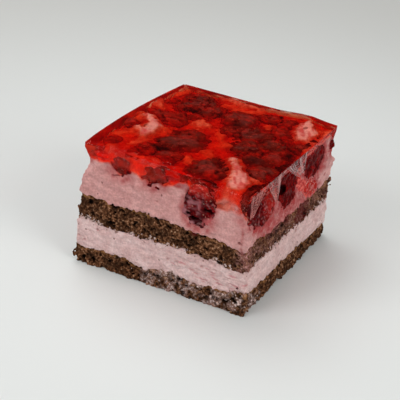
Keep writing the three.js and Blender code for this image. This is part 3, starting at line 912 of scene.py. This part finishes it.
def mousse_looks(points):
    """Juice, torn pulp, dark specks and the like on the mousse, for its material, with painted shade in its
    pits, on its left and back rims, high on the right side and under the jelly.
    """
    px, py, pz = points.T
    front_y = -DEPTH / 2 + 0.6
    bits = [(bx, front_y, bz) for bx, bz, _ in FRONT_BITS]
    threads = [(tx, front_y + 0.8, tz) for tx, tz in FRONT_THREADS]
    pulp, rng = rim_points(900, 25, 36, 86, 0.3)
    chance = near_right(pulp[:, 0], 1.5) * bell(pulp[:, 1] - 2, 17) * 0.9
    pulp = pulp[rng.uniform(0, 1, len(pulp)) < chance]
    # Painted shade high on the right side, round the middle cut berry, carried in the speck attribute.
    shade = 0.6 * near_right(px) * bell(py + 3, 8) * rise(pz - 35, 1.5)
    specks_and_shade = [
        touched(points, bits, [size for _, _, size in FRONT_BITS]),
        touched(points, TOP_SEEDS, 0.8, (1.0, 1.6, 1.0)),
        touched(points, threads, 0.34, (3.0, 2.0, 0.8)),
        shade * np.clip(0.8 + noise(px, py, pz, 1.6, 53), 0, 1.2),
    ]
    return {
        # Painted shade in the pits: darker the further a point lies in from the cut side.
        "depth": rise(-side_distance(px, py, pz), 1.2) * (pz < 36),
        # Juice stains, and painted shade on the left and back rims high up.
        "juice": juice_stain_and_rim_shade(px, py, pz),
        "speck": np.maximum.reduce(specks_and_shade),
        "pulp": touched(points, pulp, rng.uniform(0.3, 0.9, len(pulp))),
        "bright": bright_pulp(px, py, pz),
        # Painted shade: the mousse high up under the jelly is made darker.
        "under": rise(pz - 38.5),
        "lip": front_lip(px, py, pz),
    }


def mousse_piece(material):
    grid = layer_grid("raspberry_mousse")
    x, y, z = grid.xyz
    right = rise(x - 26, 4)
    rough = ((0.34, (5, 5, 3), 81), (0.26 + 0.1 * right, 1.6, 82), (0.22 + 0.08 * right, 0.85, 83))
    relief = noises(x, y, z, *rough)
    relief = relief + 0.24 * noise(0.9 * x + 0.4 * z, y, 0.9 * z - 0.4 * x, (5, 5, 1.0), 84)
    relief = relief + 0.6 * rise(-27 - x, 2) * noise(x, y, z, 2.6, 87)
    out = side_distance(x, y, z) + relief - 0.05
    strokes = VEIL["thick"] + 0.5 * noise(0.5 * x - 0.8 * z, y, 0.8 * x + 0.5 * z, (1.0, 3.0, 4.0), 56)
    out = out + strokes * veil(x, y) * rise(z - VEIL["low"], 0.5)
    bottom = ragged(SPONGE_TOP, x, y) - 0.1
    field = smooth_max(out, np.maximum(z - mousse_top(x, y), bottom - z), 0.35).astype(np.float32)
    field = np.maximum(field, -beds(x, y, z, -0.3))
    cut_pits(grid, field, 24, 37, 85, 0.07)
    points, quads, triangles = layer_surface(field, grid, 30, ("bottom",))
    piece = make_piece("raspberry_mousse", points, quads, triangles, mousse_looks(points))
    dress(piece, material, ["raspberry_mousse"])


def broken_edge(x, y, z):
    """How far the front top edge is broken back, most of all on the left."""
    amount = 0.6 + 0.7 * rise(21 - x, 4) + 0.7 * rise(-x, 8)
    amount = amount * np.clip((x + 31) / 7, 0.1, 1) * (1 + 0.35 * noise(x, 0, 0, 3.0, 96))
    return rise(-24 - y, 3) * amount * np.clip(1 - (TOP - z) / 2.8, 0, 1) ** 1.5


def jelly_side(x, y, z):
    """Distance out of the jelly's sides: torn in front, smooth elsewhere, inside the mousse lower down."""
    relief = noises(x, y, z, (0.16, (7, 7, 3), 91), (0.1, (2.6, 2.6, 1.4), 92)) * rise(TOP - z, 3)
    front = rise(TORN_FROM - y, 3) * rise(TOP - z, 0.6) * np.clip((x + 30) / 4, 0.3, 1)
    torn = noises(x, y, z, (0.5, (3.2, 3.2, 2.0), 93), (0.4, (1.5, 1.5, 1.0), 94))
    out = side_distance(x, y, z) + relief + front * torn + broken_edge(x, y, z) - 0.05
    low = mousse_top(x, y)
    low = low + veil(x, y) * (np.minimum(VEIL["low"], low) - low)
    return out + 0.5 * rise(low - z)


def sharpen_rim(points, side, top, cell):
    """Moves the points of a rounded-off top rim out to where the side meets the top."""
    rim = np.flatnonzero((points[:, 2] > top - 0.7 * cell) & (side(*points.T) > -0.75 * cell))
    for _ in range(3):
        x, y, _ = points[rim].T
        z = np.full(len(rim), top)
        step = 0.05
        out = side(x, y, z)
        slope_x = (side(x + step, y, z) - out) / step
        slope_y = (side(x, y + step, z) - out) / step
        steep = np.maximum(slope_x**2 + slope_y**2, 0.5)
        points[rim] = np.stack([x - out * slope_x / steep, y - out * slope_y / steep, z], 1)


def jelly_piece(material):
    low_z, _, cell = LAYERS["jelly"]
    grid = layer_grid("jelly")
    x, y, z = grid.xyz
    bottom = np.minimum(mousse_top(x, y) - 1.0, JELLY_BOTTOM - 2.0 * veil(x, y))
    bottom = np.maximum(bottom, low_z + 0.4)
    field = np.maximum(jelly_side(x, y, z), np.maximum(z - TOP, bottom - z))
    field = np.maximum(field, -beds(x, y, z, -0.35, wet=False))
    points, quads = surface(field.astype(np.float32), grid)
    flat = hidden_patches(points, 38, ("top", "bottom"))
    flat[0] &= (points[:, 2] > TOP - 0.05) & (points[:, 1] > TORN_FROM)
    flat[1] &= points[:, 2] < JELLY_BOTTOM + 0.2
    points, quads, triangles = gather(points, quads, flat)
    sharpen_rim(points, jelly_side, TOP, cell)
    px, py, pz = points.T
    on_side = np.clip(1 + jelly_side(px, py, pz) / 0.35, 0, 1) * rise(TOP - 0.2 - pz, 0.3)
    cut = np.where((px < -25) | (py > 27), 0.9, np.where(px > 27, 0.1, 0.2))
    cloud = np.clip(0.75 + 0.6 * noise(px, py, pz, 2.2, 95), 0.2, 1)
    wavy = rise(-26 - py, 2) * np.clip(0.5 + noise(px, py, pz, 4.0, 97), 0, 1)
    piece = make_piece("jelly", points, quads, triangles, {"frost": on_side * cut * cloud, "wavy": wavy})
    piece.data.set_sharp_from_angle(angle=math.radians(50))
    dress(piece, material, ["jelly"])


# ---- The film that hangs from the top of the right side ----
# Each fold runs along the top edge from one y to another, and hangs down to a height, where it runs
# between two other places along Y.
FILM_FOLDS = [
    {"top": (-32.3, -22.0), "tip": (-32.4, -30.6), "low": 35.4, "pleats": 6, "milk": 0.8, "tint": 0.6},
    {"top": (-21.5, -12.4), "tip": (-14.6, -13.4), "low": 33.6, "pleats": 6, "milk": 1.0, "tint": 0.2},
    {"top": (-8.5, 6.6), "tip": (2.2, 5.4), "low": 35.4, "pleats": 8, "milk": 0.85, "tint": 0.0},
    {"top": (-23.6, -8.5), "tip": (-21.5, -10.0), "low": 41.7, "pleats": 5, "milk": 0.7, "tint": 0.4},
    {"top": (6.6, 30.5), "tip": (7.5, 29.5), "low": 41.7, "pleats": 9, "milk": 0.35, "tint": 1.0},
]
FILM_THICKNESS = 0.08
FILM_POINTS = (97, 15)  # along each fold, and down it


def right_face(y, z):
    (ax, ay), (bx, by) = corner_at(1, z), corner_at(2, z)
    return ax + (bx - ax) * (y - ay) / (by - ay) + OUTSET


def fold_sheet(fold, number):
    """One fold's front points, its quads, the ring of its border, and how milky it is at each point."""
    across, down = FILM_POINTS
    s, t = np.meshgrid(np.linspace(0, 1, across), np.linspace(0, 1, down), indexing="ij")
    rng = np.random.default_rng(500 + number)
    narrowed = t**1.15
    y = (fold["top"][0] * (1 - s) + fold["top"][1] * s) * (1 - narrowed)
    y = y + (fold["tip"][0] * (1 - s) + fold["tip"][1] * s) * narrowed
    sag = 0.6 * np.sin(np.pi * s) * t
    z = TOP - 0.02 - (TOP - fold["low"] - sag) * t
    wave = np.sin(2 * np.pi * (fold["pleats"] * s + rng.uniform()))
    wave = wave + 0.5 * np.sin(2 * np.pi * (2.3 * fold["pleats"] * s + rng.uniform()))
    x = right_face(y, z) + 0.12 + (0.03 + 0.22 * t * (1 - 0.6 * t)) * (1 + 0.6 * wave)
    lanes = fold["pleats"] * 3
    lines = noise(s * lanes, t * 0.8, 0, 1.0, 510 + number)
    lines = lines + 0.5 * noise(s * 2 * lanes, t, 0, 1.0, 520 + number)
    edge = 0.5 * np.exp(-np.minimum(s, 1 - s) / 0.03)
    streak = np.clip(0.3 + 0.7 * lines + 0.2 * t + edge, 0, 1) * fold["milk"]
    index = np.arange(across * down).reshape(across, down)
    corners = [index[:-1, :-1], index[:-1, 1:], index[1:, 1:], index[1:, :-1]]
    ring = np.concatenate([index[:, 0], index[-1, 1:], index[-2::-1, -1], index[0, -2:0:-1]])
    return np.stack([x, y, z], -1).reshape(-1, 3), np.stack(corners, -1).reshape(-1, 4), ring, streak.ravel()


def film_piece(material):
    """All the folds, each a thin closed sheet."""
    all_points, all_quads, streaks, tints = [], [], [], []
    start = 0
    for number, fold in enumerate(FILM_FOLDS):
        front, face, ring, streak = fold_sheet(fold, number)
        count = len(front)
        after = np.roll(ring, -1)
        border = np.stack([ring, after, after + count, ring + count], 1)
        all_points += [front, front - [FILM_THICKNESS, 0, 0]]
        all_quads += [face + start, face[:, ::-1] + count + start, border + start]
        streaks += [streak, streak]
        tints.append(np.full(2 * count, fold["tint"]))
        start += 2 * count
    values = {"streak": np.concatenate(streaks), "tint": np.concatenate(tints)}
    piece = make_piece("film", np.concatenate(all_points), np.concatenate(all_quads), None, values)
    dress(piece, material)


# ---- Materials ----
class Paint:
    """Adds nodes to one material and wires them."""

    def __init__(self, name):
        self.material = bpy.data.materials.new(name)
        self.material.use_nodes = True
        self.tree = self.material.node_tree
        self.tree.nodes.clear()
        self.output = self.add("ShaderNodeOutputMaterial")

    def put(self, socket, value):
        """Links another node to a socket, or sets a constant on it."""
        if isinstance(value, bpy.types.NodeSocket):
            self.tree.links.new(value, socket)
        else:
            socket.default_value = value

    def add(self, kind, settings=None, **inputs):
        """A node, with its inputs given by their names, with _ for each space."""
        node = self.tree.nodes.new(kind)
        for key, value in (settings or {}).items():
            setattr(node, key, value)
        for key, value in inputs.items():
            self.put(node.inputs[key.replace("_", " ")], value)
        return node

    def grain(self, size, detail=3.0, stretch=(1, 1, 1)):
        """Noise with lumps of `size` millimetres, from 0 to 1."""
        place = self.add("ShaderNodeTexCoord").outputs["Object"]
        scale = tuple(s / (size * MM) for s in stretch)
        mapped = self.add("ShaderNodeMapping", Vector=place, Scale=scale).outputs[0]
        inputs = {"Vector": mapped, "Scale": 1.0, "Detail": detail, "Roughness": 0.55}
        return self.add("ShaderNodeTexNoise", **inputs).outputs[0]

    def attribute(self, name):
        return self.add("ShaderNodeAttribute", {"attribute_name": name}).outputs["Fac"]

    def math(self, operation, *values):
        node = self.add("ShaderNodeMath", {"operation": operation})
        for socket, value in zip(node.inputs, values):
            self.put(socket, value)
        return node.outputs[0]

    def times(self, a, b):
        return self.math("MULTIPLY", a, b)

    def ramp(self, value, stops):
        """Colours at places from 0 to 1."""
        node = self.add("ShaderNodeValToRGB", Fac=value)
        elements = node.color_ramp.elements
        while len(elements) < len(stops):
            elements.new(1.0)
        for element, (place, colour) in zip(elements, stops):
            element.position = place
            element.color = (*linear(*colour), 1)
        return node.outputs[0]

    def span(self, value, low, high, out_low=0.0, out_high=1.0):
        """From one number to another as the value goes from `low` to `high`."""
        node = self.add("ShaderNodeMapRange", {"interpolation_type": "SMOOTHSTEP"}, Value=value)
        for key, number in zip(("From Min", "From Max", "To Min", "To Max"), (low, high, out_low, out_high)):
            node.inputs[key].default_value = number
        return node.outputs[0]

    def where(self, name, *limits):
        return self.span(self.attribute(name), *limits)

    def mix(self, share, a, b, blend="MIX"):
        node = self.add("ShaderNodeMix", {"data_type": "RGBA", "blend_type": blend})
        for key, value in ((0, share), (6, a), (7, b)):
            self.put(node.inputs[key], (*value, 1) if isinstance(value, tuple) else value)
        return node.outputs[2]

    def between(self, share, first, second):
        """From one colour read in 0 to 255 steps to another."""
        return self.mix(share, linear(*first), linear(*second))

    def lay(self, under, share, colour):
        """A colour over what is under it, by a share."""
        return self.mix(share, under, linear(*colour) if isinstance(colour, tuple) else colour)

    def bump(self, height, strength, distance):
        made = self.add("ShaderNodeBump", Height=height, Strength=strength, Distance=distance * MM)
        return made.outputs[0]

    def blend(self, share, first, second):
        """Two shaders, mixed by a share of the second."""
        node = self.add("ShaderNodeMixShader", Fac=share)
        self.put(node.inputs[1], first.outputs[0])
        self.put(node.inputs[2], second.outputs[0])
        return node

    def cover(self, shader):
        self.put(self.output.inputs["Surface"], shader.outputs[0])
        return self.material

    def solid(self, colour, shine, **inputs):
        """Covers the material with one shader of a colour."""
        inputs.update(Base_Color=colour, Specular_IOR_Level=shine)
        return self.cover(self.add("ShaderNodeBsdfPrincipled", **inputs))


def linear(r, g, b):
    """A colour read in the usual 0 to 255 steps, made linear."""
    return tuple(
        (v / 255) / 12.92 if v <= 10 else ((v / 255 + 0.055) / 1.055) ** 2.4
        for v in (r, g, b)
    )


def sponge_material():
    paint = Paint("chocolate_sponge")
    fine = paint.grain(0.75, 4.0)
    # The crumb's browns follow the same grain as its bumps: the darkest stop is painted shade in the pores,
    # the lightest a painted highlight on the crumbs.
    browns_with_pore_shade_and_highlights = [(0.30, (30, 15, 8)), (0.46, (84, 50, 30)), (0.60, (142, 96, 68)), (0.72, (206, 166, 132))]
    crumb = paint.ramp(fine, browns_with_pore_shade_and_highlights)
    varied = paint.lay(crumb, paint.span(paint.grain(2.6, 3.0), 0.42, 0.6, 0, 0.75), (46, 24, 12))
    toasted = paint.span(paint.grain(1.4, 2.0), 0.42, 0.62, 0, 0.7)
    toasted = paint.times(paint.attribute("edge"), toasted)
    varied = paint.lay(varied, toasted, (160, 112, 70))
    # Painted shade in the pores.
    pore_shaded = paint.lay(varied, paint.where("depth", 0.15, 0.8), (24, 12, 7))
    juiced = paint.lay(pore_shaded, paint.where("juice", 0.1, 0.9, 0, 0.85), (88, 20, 22))
    smear = paint.attribute("smear")
    rosy = paint.attribute("rosy")
    patchy = paint.times(smear, paint.span(paint.grain(0.9, 3.0), 0.3, 0.6))
    creamed = paint.mix(patchy, juiced, paint.between(rosy, (176, 142, 134), (150, 96, 90)))
    flecks = paint.times(smear, paint.span(paint.grain(0.8, 2.0), 0.52, 0.6))
    creamed = paint.mix(flecks, creamed, paint.between(rosy, (232, 208, 202), (190, 138, 130)))
    grained = paint.lay(creamed, paint.where("grain", 0.4, 0.7), (220, 194, 188))
    return paint.solid(grained, 0.05, Roughness=0.85, Normal=paint.bump(fine, 0.7, 0.3))


def soft_solid(paint, colour, fine):
    """The look shared by the cream and the mousse: matt, a little light through it, and a whipped grain."""
    height = paint.math("MULTIPLY_ADD", paint.grain(1.7, 3.0, (1, 1, 1.6)), 1.5, fine)
    depths = {"Subsurface_Weight": 0.12, "Subsurface_Radius": (1.0, 0.5, 0.4), "Subsurface_Scale": 1.2 * MM}
    return paint.solid(colour, 0.2, Roughness=0.6, Normal=paint.bump(height, 1.0, 0.45), **depths)


def speckled(paint, colour):
    """The colour with a fine whipped grain, a little darker and lighter from place to place."""
    broad = paint.span(paint.grain(2.0, 3.0, (0.5, 0.5, 1.3)), 0.35, 0.65)
    broad = paint.mix(broad, (0.88, 0.84, 0.84), (1.05, 1.05, 1.05))
    small = paint.mix(paint.span(paint.grain(0.7, 2.0), 0.38, 0.62), (0.90, 0.87, 0.87), (1.04, 1.04, 1.04))
    return paint.mix(1.0, paint.mix(1.0, colour, broad, "MULTIPLY"), small, "MULTIPLY")


def cream_material():
    paint = Paint("raspberry_cream")
    broad = paint.span(paint.grain(5.0, 3.0), 0.3, 0.7)
    base = speckled(paint, paint.between(broad, (240, 210, 207), (227, 189, 186)))
    stroked = paint.lay(base, paint.where("stroke", 0.2, 0.9, 0, 0.6), (200, 118, 122))
    specked = paint.lay(stroked, paint.where("speck", 0.3, 0.7, 0, 0.8), (132, 88, 74))
    # Painted shade in the pits.
    pit_shaded = paint.lay(specked, paint.where("depth", 0.3, 1.0, 0, 0.5), (190, 138, 136))
    return soft_solid(paint, pit_shaded, paint.grain(0.8, 4.0))


def mousse_material():
    paint = Paint("raspberry_mousse")
    fine = paint.grain(0.8, 4.0)
    broad = paint.span(paint.grain(6.0, 3.0), 0.3, 0.7)
    base = speckled(paint, paint.between(broad, (229, 175, 171), (216, 158, 154)))
    # Painted shade: darker high up, under the jelly.
    base = paint.mix(paint.attribute("under"), base, paint.mix(1.0, base, (0.80, 0.75, 0.78), "MULTIPLY"))
    patchy = paint.span(paint.grain(2.2, 4.0), 0.25, 0.7, 0.5, 1.0)
    # The juice attribute is juice stains, and also painted shade on the left and back rims high up.
    patch = paint.times(paint.attribute("juice"), patchy)
    stained = paint.lay(base, paint.span(patch, 0.1, 0.9, 0, 0.9), (172, 43, 45))
    soaked = paint.between(paint.span(fine, 0.4, 0.62), (196, 44, 30), (238, 96, 62))
    stained = paint.lay(stained, paint.times(paint.attribute("lip"), 0.85), soaked)
    shreds = paint.between(paint.span(fine, 0.42, 0.6), (150, 34, 38), (206, 120, 116))
    pulped = paint.lay(stained, paint.where("pulp", 0.3, 0.8, 0, 0.8), shreds)
    torn = paint.between(paint.span(fine, 0.42, 0.62), (190, 24, 22), (240, 112, 100))
    pulped = paint.lay(pulped, paint.where("bright", 0.2, 0.8, 0, 0.9), torn)
    # The speck attribute is dark bits, seeds and threads, and also painted shade high on the right side.
    specked = paint.lay(pulped, paint.where("speck", 0.3, 0.7, 0, 0.75), (104, 34, 36))
    # Painted shade in the pits.
    pit_shaded = paint.lay(specked, paint.where("depth", 0.25, 0.9, 0, 0.5), (176, 110, 116))
    return soft_solid(paint, pit_shaded, fine)


def flesh_material():
    paint = Paint("cut_raspberry")
    fine = paint.grain(0.8, 4.0)
    broad = paint.times(paint.grain(2.4, 3.0), 0.5)
    skin = paint.between(paint.span(fine, 0.35, 0.7), (84, 8, 16), (40, 3, 8))
    reds = [(0.36, (30, 1, 3)), (0.48, (74, 4, 8)), (0.58, (124, 8, 12)), (0.70, (160, 20, 20))]
    inner = paint.ramp(paint.math("MULTIPLY_ADD", fine, 0.5, broad), reds)
    inner = paint.lay(inner, paint.attribute("red"), paint.between(fine, (120, 8, 10), (236, 60, 50)))
    inner = paint.lay(inner, paint.times(paint.attribute("milky"), 0.85), (168, 104, 110))
    pale = paint.attribute("pale")
    streaks = paint.times(pale, paint.span(paint.grain(1.0, 3.0, (0.5, 1, 1)), 0.52, 0.66))
    flecked = paint.lay(inner, streaks, (214, 150, 150))
    # Painted shade in the berry's holes and hollows.
    deep = paint.lay(flecked, paint.where("pit_shade", 0.3, 1.0, 0, 0.9), (18, 1, 3))
    deep = paint.lay(deep, paint.attribute("smeared"), (188, 92, 94))
    cut = paint.mix(paint.attribute("flesh"), skin, deep)
    seeded = paint.lay(cut, paint.times(pale, paint.where("seed", 0.4, 0.7)), (222, 170, 150))
    return paint.solid(seeded, 0.02, Roughness=0.35, Normal=paint.bump(fine, 0.5, 0.25))


def sunk_material():
    """Whole berries in jelly: the jelly takes their gloss away, so only their colour shows."""
    paint = Paint("sunk_raspberry")
    # The tone attribute is each berry's own tone and mottling, with painted light that makes it redder and
    # lighter lower down.
    skin = paint.between(paint.attribute("tone"), (96, 50, 53), (166, 48, 48))
    mottled = paint.lay(skin, paint.span(paint.grain(1.2, 4.0), 0.42, 0.62, 0, 0.45), (70, 22, 24))
    mottled = paint.lay(mottled, paint.span(paint.grain(0.7, 1.0), 0.68, 0.76, 0, 0.8), (200, 96, 86))
    # Painted shade in the darkest places among the berries.
    mottled = paint.lay(mottled, paint.times(paint.attribute("shade"), 0.9), (28, 5, 7))
    return paint.solid(mottled, 0.0, Roughness=0.9)


# What the jelly takes out of red, green and blue light, per metre.
JELLY_LOSS = (20.0, 360.0, 560.0)
JELLY_IOR = 1.35


def jelly_material():
    """Clear jelly that tints light with depth, frosted where it was cut, and open to the lamps' light."""
    paint = Paint("red_jelly")
    scratch = paint.grain(1.6, 3.0, (0.12, 1, 1))
    wavy = paint.attribute("wavy")
    crumple = paint.bump(paint.grain(1.5, 2.0, (0.6, 1, 1)), wavy, 0.6)
    smoothed = paint.bump(scratch, 0.1, 0.15)
    paint.put(smoothed.node.inputs["Normal"], crumple)
    clear = {"Roughness": 0.04, "IOR": JELLY_IOR}
    glass = {"Base_Color": (1, 1, 1, 1), "Transmission_Weight": 1.0, "Normal": smoothed}
    glass = paint.add("ShaderNodeBsdfPrincipled", **clear, **glass)
    plain = paint.add("ShaderNodeBsdfRefraction", **clear)
    inside = paint.add("ShaderNodeNewGeometry").outputs["Backfacing"]
    softer = paint.blend(paint.math("MULTIPLY_ADD", inside, -0.6, 0.6), glass, plain)
    dull = paint.between(wavy, (160, 34, 26), (216, 60, 36))
    dull = paint.add("ShaderNodeBsdfDiffuse", Color=dull)
    frosted = paint.blend(paint.attribute("frost"), softer, dull)
    shadow = paint.add("ShaderNodeLightPath").outputs["Is Shadow Ray"]
    density = max(JELLY_LOSS)
    colour = tuple(1 - loss / density for loss in JELLY_LOSS)
    volume = paint.add("ShaderNodeVolumeAbsorption", Color=(*colour, 1), Density=density)
    paint.put(paint.output.inputs["Volume"], volume.outputs[0])
    return paint.cover(paint.blend(shadow, frosted, paint.add("ShaderNodeBsdfTransparent")))


def film_material():
    """Thin clear skin of jelly, milky along its pleats."""
    paint = Paint("jelly_film")
    colour = paint.between(paint.attribute("tint"), (196, 162, 162), (232, 118, 106))
    return paint.solid(colour, 0.4, Roughness=0.3, Alpha=paint.where("streak", 0.2, 1.0, 0.05, 0.58))


# ---- The object ----
sponge = sponge_material()
flesh = flesh_material()
sponge_piece("base_sponge", None, BASE_TOP, 91, sponge)
cream_piece(cream_material())
sponge_piece("middle_sponge", CREAM_TOP, SPONGE_TOP, 121, sponge)
mousse_piece(mousse_material())
for number, (name, berry) in enumerate(CUT_BERRIES.items()):
    cut_berry(name, berry, 300 + number, flesh)
sunk_berries(sunk_material())
jelly_piece(jelly_material())
film_piece(film_material())


# ---- Floor, light and camera ----
FLOOR = {"half": 6.0, "near": (0.76, 0.78, 0.77), "far": (0.60, 0.60, 0.58), "fade": (0.06, 0.34)}


def build_stage():
    mesh = bpy.data.meshes.new("floor")
    half = FLOOR["half"]
    corners = [(-half, -half, 0), (half, -half, 0), (half, half, 0), (-half, half, 0)]
    mesh.from_pydata(corners, [], [(0, 1, 2, 3)])
    floor = bpy.data.objects.new("floor", mesh)
    bpy.context.scene.collection.objects.link(floor)
    paint = Paint("pale_floor")
    place = paint.add("ShaderNodeTexCoord").outputs["Object"]
    away = paint.add("ShaderNodeVectorMath", {"operation": "LENGTH"}, Vector=place).outputs["Value"]
    colour = paint.mix(paint.span(away, *FLOOR["fade"]), FLOOR["near"], FLOOR["far"])
    mesh.materials.append(paint.solid(colour, 0.2, Roughness=0.5))


# Lamps: place in metres, size, power, and colour.
LAMPS = {
    "window": {"at": (-0.45, 0.3, 0.95), "size": 0.8, "power": 5.0, "colour": (1.0, 0.99, 0.97)},
    "front": {"at": (-0.5, -0.85, 0.6), "size": 0.6, "power": 5.2, "colour": (1.0, 1.0, 1.0)},
    "right": {"at": (0.95, -0.2, 0.55), "size": 0.6, "power": 5.2, "colour": (1.0, 0.99, 0.97)},
}
# The room is `dark` in directions whose Z is under `from`, and `bright` in those over `to`.
ROOM = {"dark": 0.05, "bright": 0.56, "from": 0.55, "to": 0.8, "colour": (0.97, 0.99, 1.0)}


def build_lights():
    """A room dark low down and bright overhead, so that the jelly's top mirrors little, and the lamps."""
    world = bpy.data.worlds.new("soft_room")
    world.use_nodes = True
    tree = world.node_tree
    background = tree.nodes["Background"]
    background.inputs["Color"].default_value = (*ROOM["colour"], 1)
    place = tree.nodes.new("ShaderNodeTexCoord")
    parts = tree.nodes.new("ShaderNodeSeparateXYZ")
    climb = tree.nodes.new("ShaderNodeMapRange")
    climb.interpolation_type = "SMOOTHSTEP"
    for key, name in (("From Min", "from"), ("From Max", "to"), ("To Min", "dark"), ("To Max", "bright")):
        climb.inputs[key].default_value = ROOM[name]
    tree.links.new(place.outputs["Generated"], parts.inputs[0])
    tree.links.new(parts.outputs["Z"], climb.inputs["Value"])
    tree.links.new(climb.outputs[0], background.inputs["Strength"])
    bpy.context.scene.world = world
    for name, lamp in LAMPS.items():
        light = bpy.data.lights.new(name, "AREA")
        light.shape = "SQUARE"
        light.size = lamp["size"]
        light.energy = lamp["power"]
        light.color = lamp["colour"]
        piece = bpy.data.objects.new(name, light)
        piece.location = lamp["at"]
        toward = Vector((0, 0, 0.02)) - Vector(lamp["at"])
        piece.rotation_euler = toward.to_track_quat("-Z", "Y").to_euler()
        bpy.context.scene.collection.objects.link(piece)


CAMERA = {
    "azimuth": 27.838,
    "elevation": 28.058,
    "roll": 3.970,
    "distance": 333.78,
    "target": (-1.087, -4.649, 20.0),
    "lens": 90.0,
    "sensor": 36.0,
    "clip": (0.01, 20.0),
}


def build_camera():
    data = bpy.data.cameras.new("camera")
    data.lens = CAMERA["lens"]
    data.sensor_width = CAMERA["sensor"]
    data.clip_start, data.clip_end = CAMERA["clip"]
    camera = bpy.data.objects.new("camera", data)
    a, e = math.radians(CAMERA["azimuth"]), math.radians(CAMERA["elevation"])
    back = Vector((math.sin(a) * math.cos(e), -math.cos(a) * math.cos(e), math.sin(e)))
    target = Vector(CAMERA["target"]) + Vector(MIDDLE)
    roll = Matrix.Rotation(math.radians(CAMERA["roll"]), 3, "Z")
    turn = (-back).to_track_quat("-Z", "Y").to_matrix() @ roll
    camera.matrix_world = Matrix.Translation((target + back * CAMERA["distance"]) * MM) @ turn.to_4x4()
    bpy.context.scene.collection.objects.link(camera)
    bpy.context.scene.camera = camera


build_stage()
build_lights()
build_camera()
bpy.context.scene.view_settings.view_transform = "Standard"
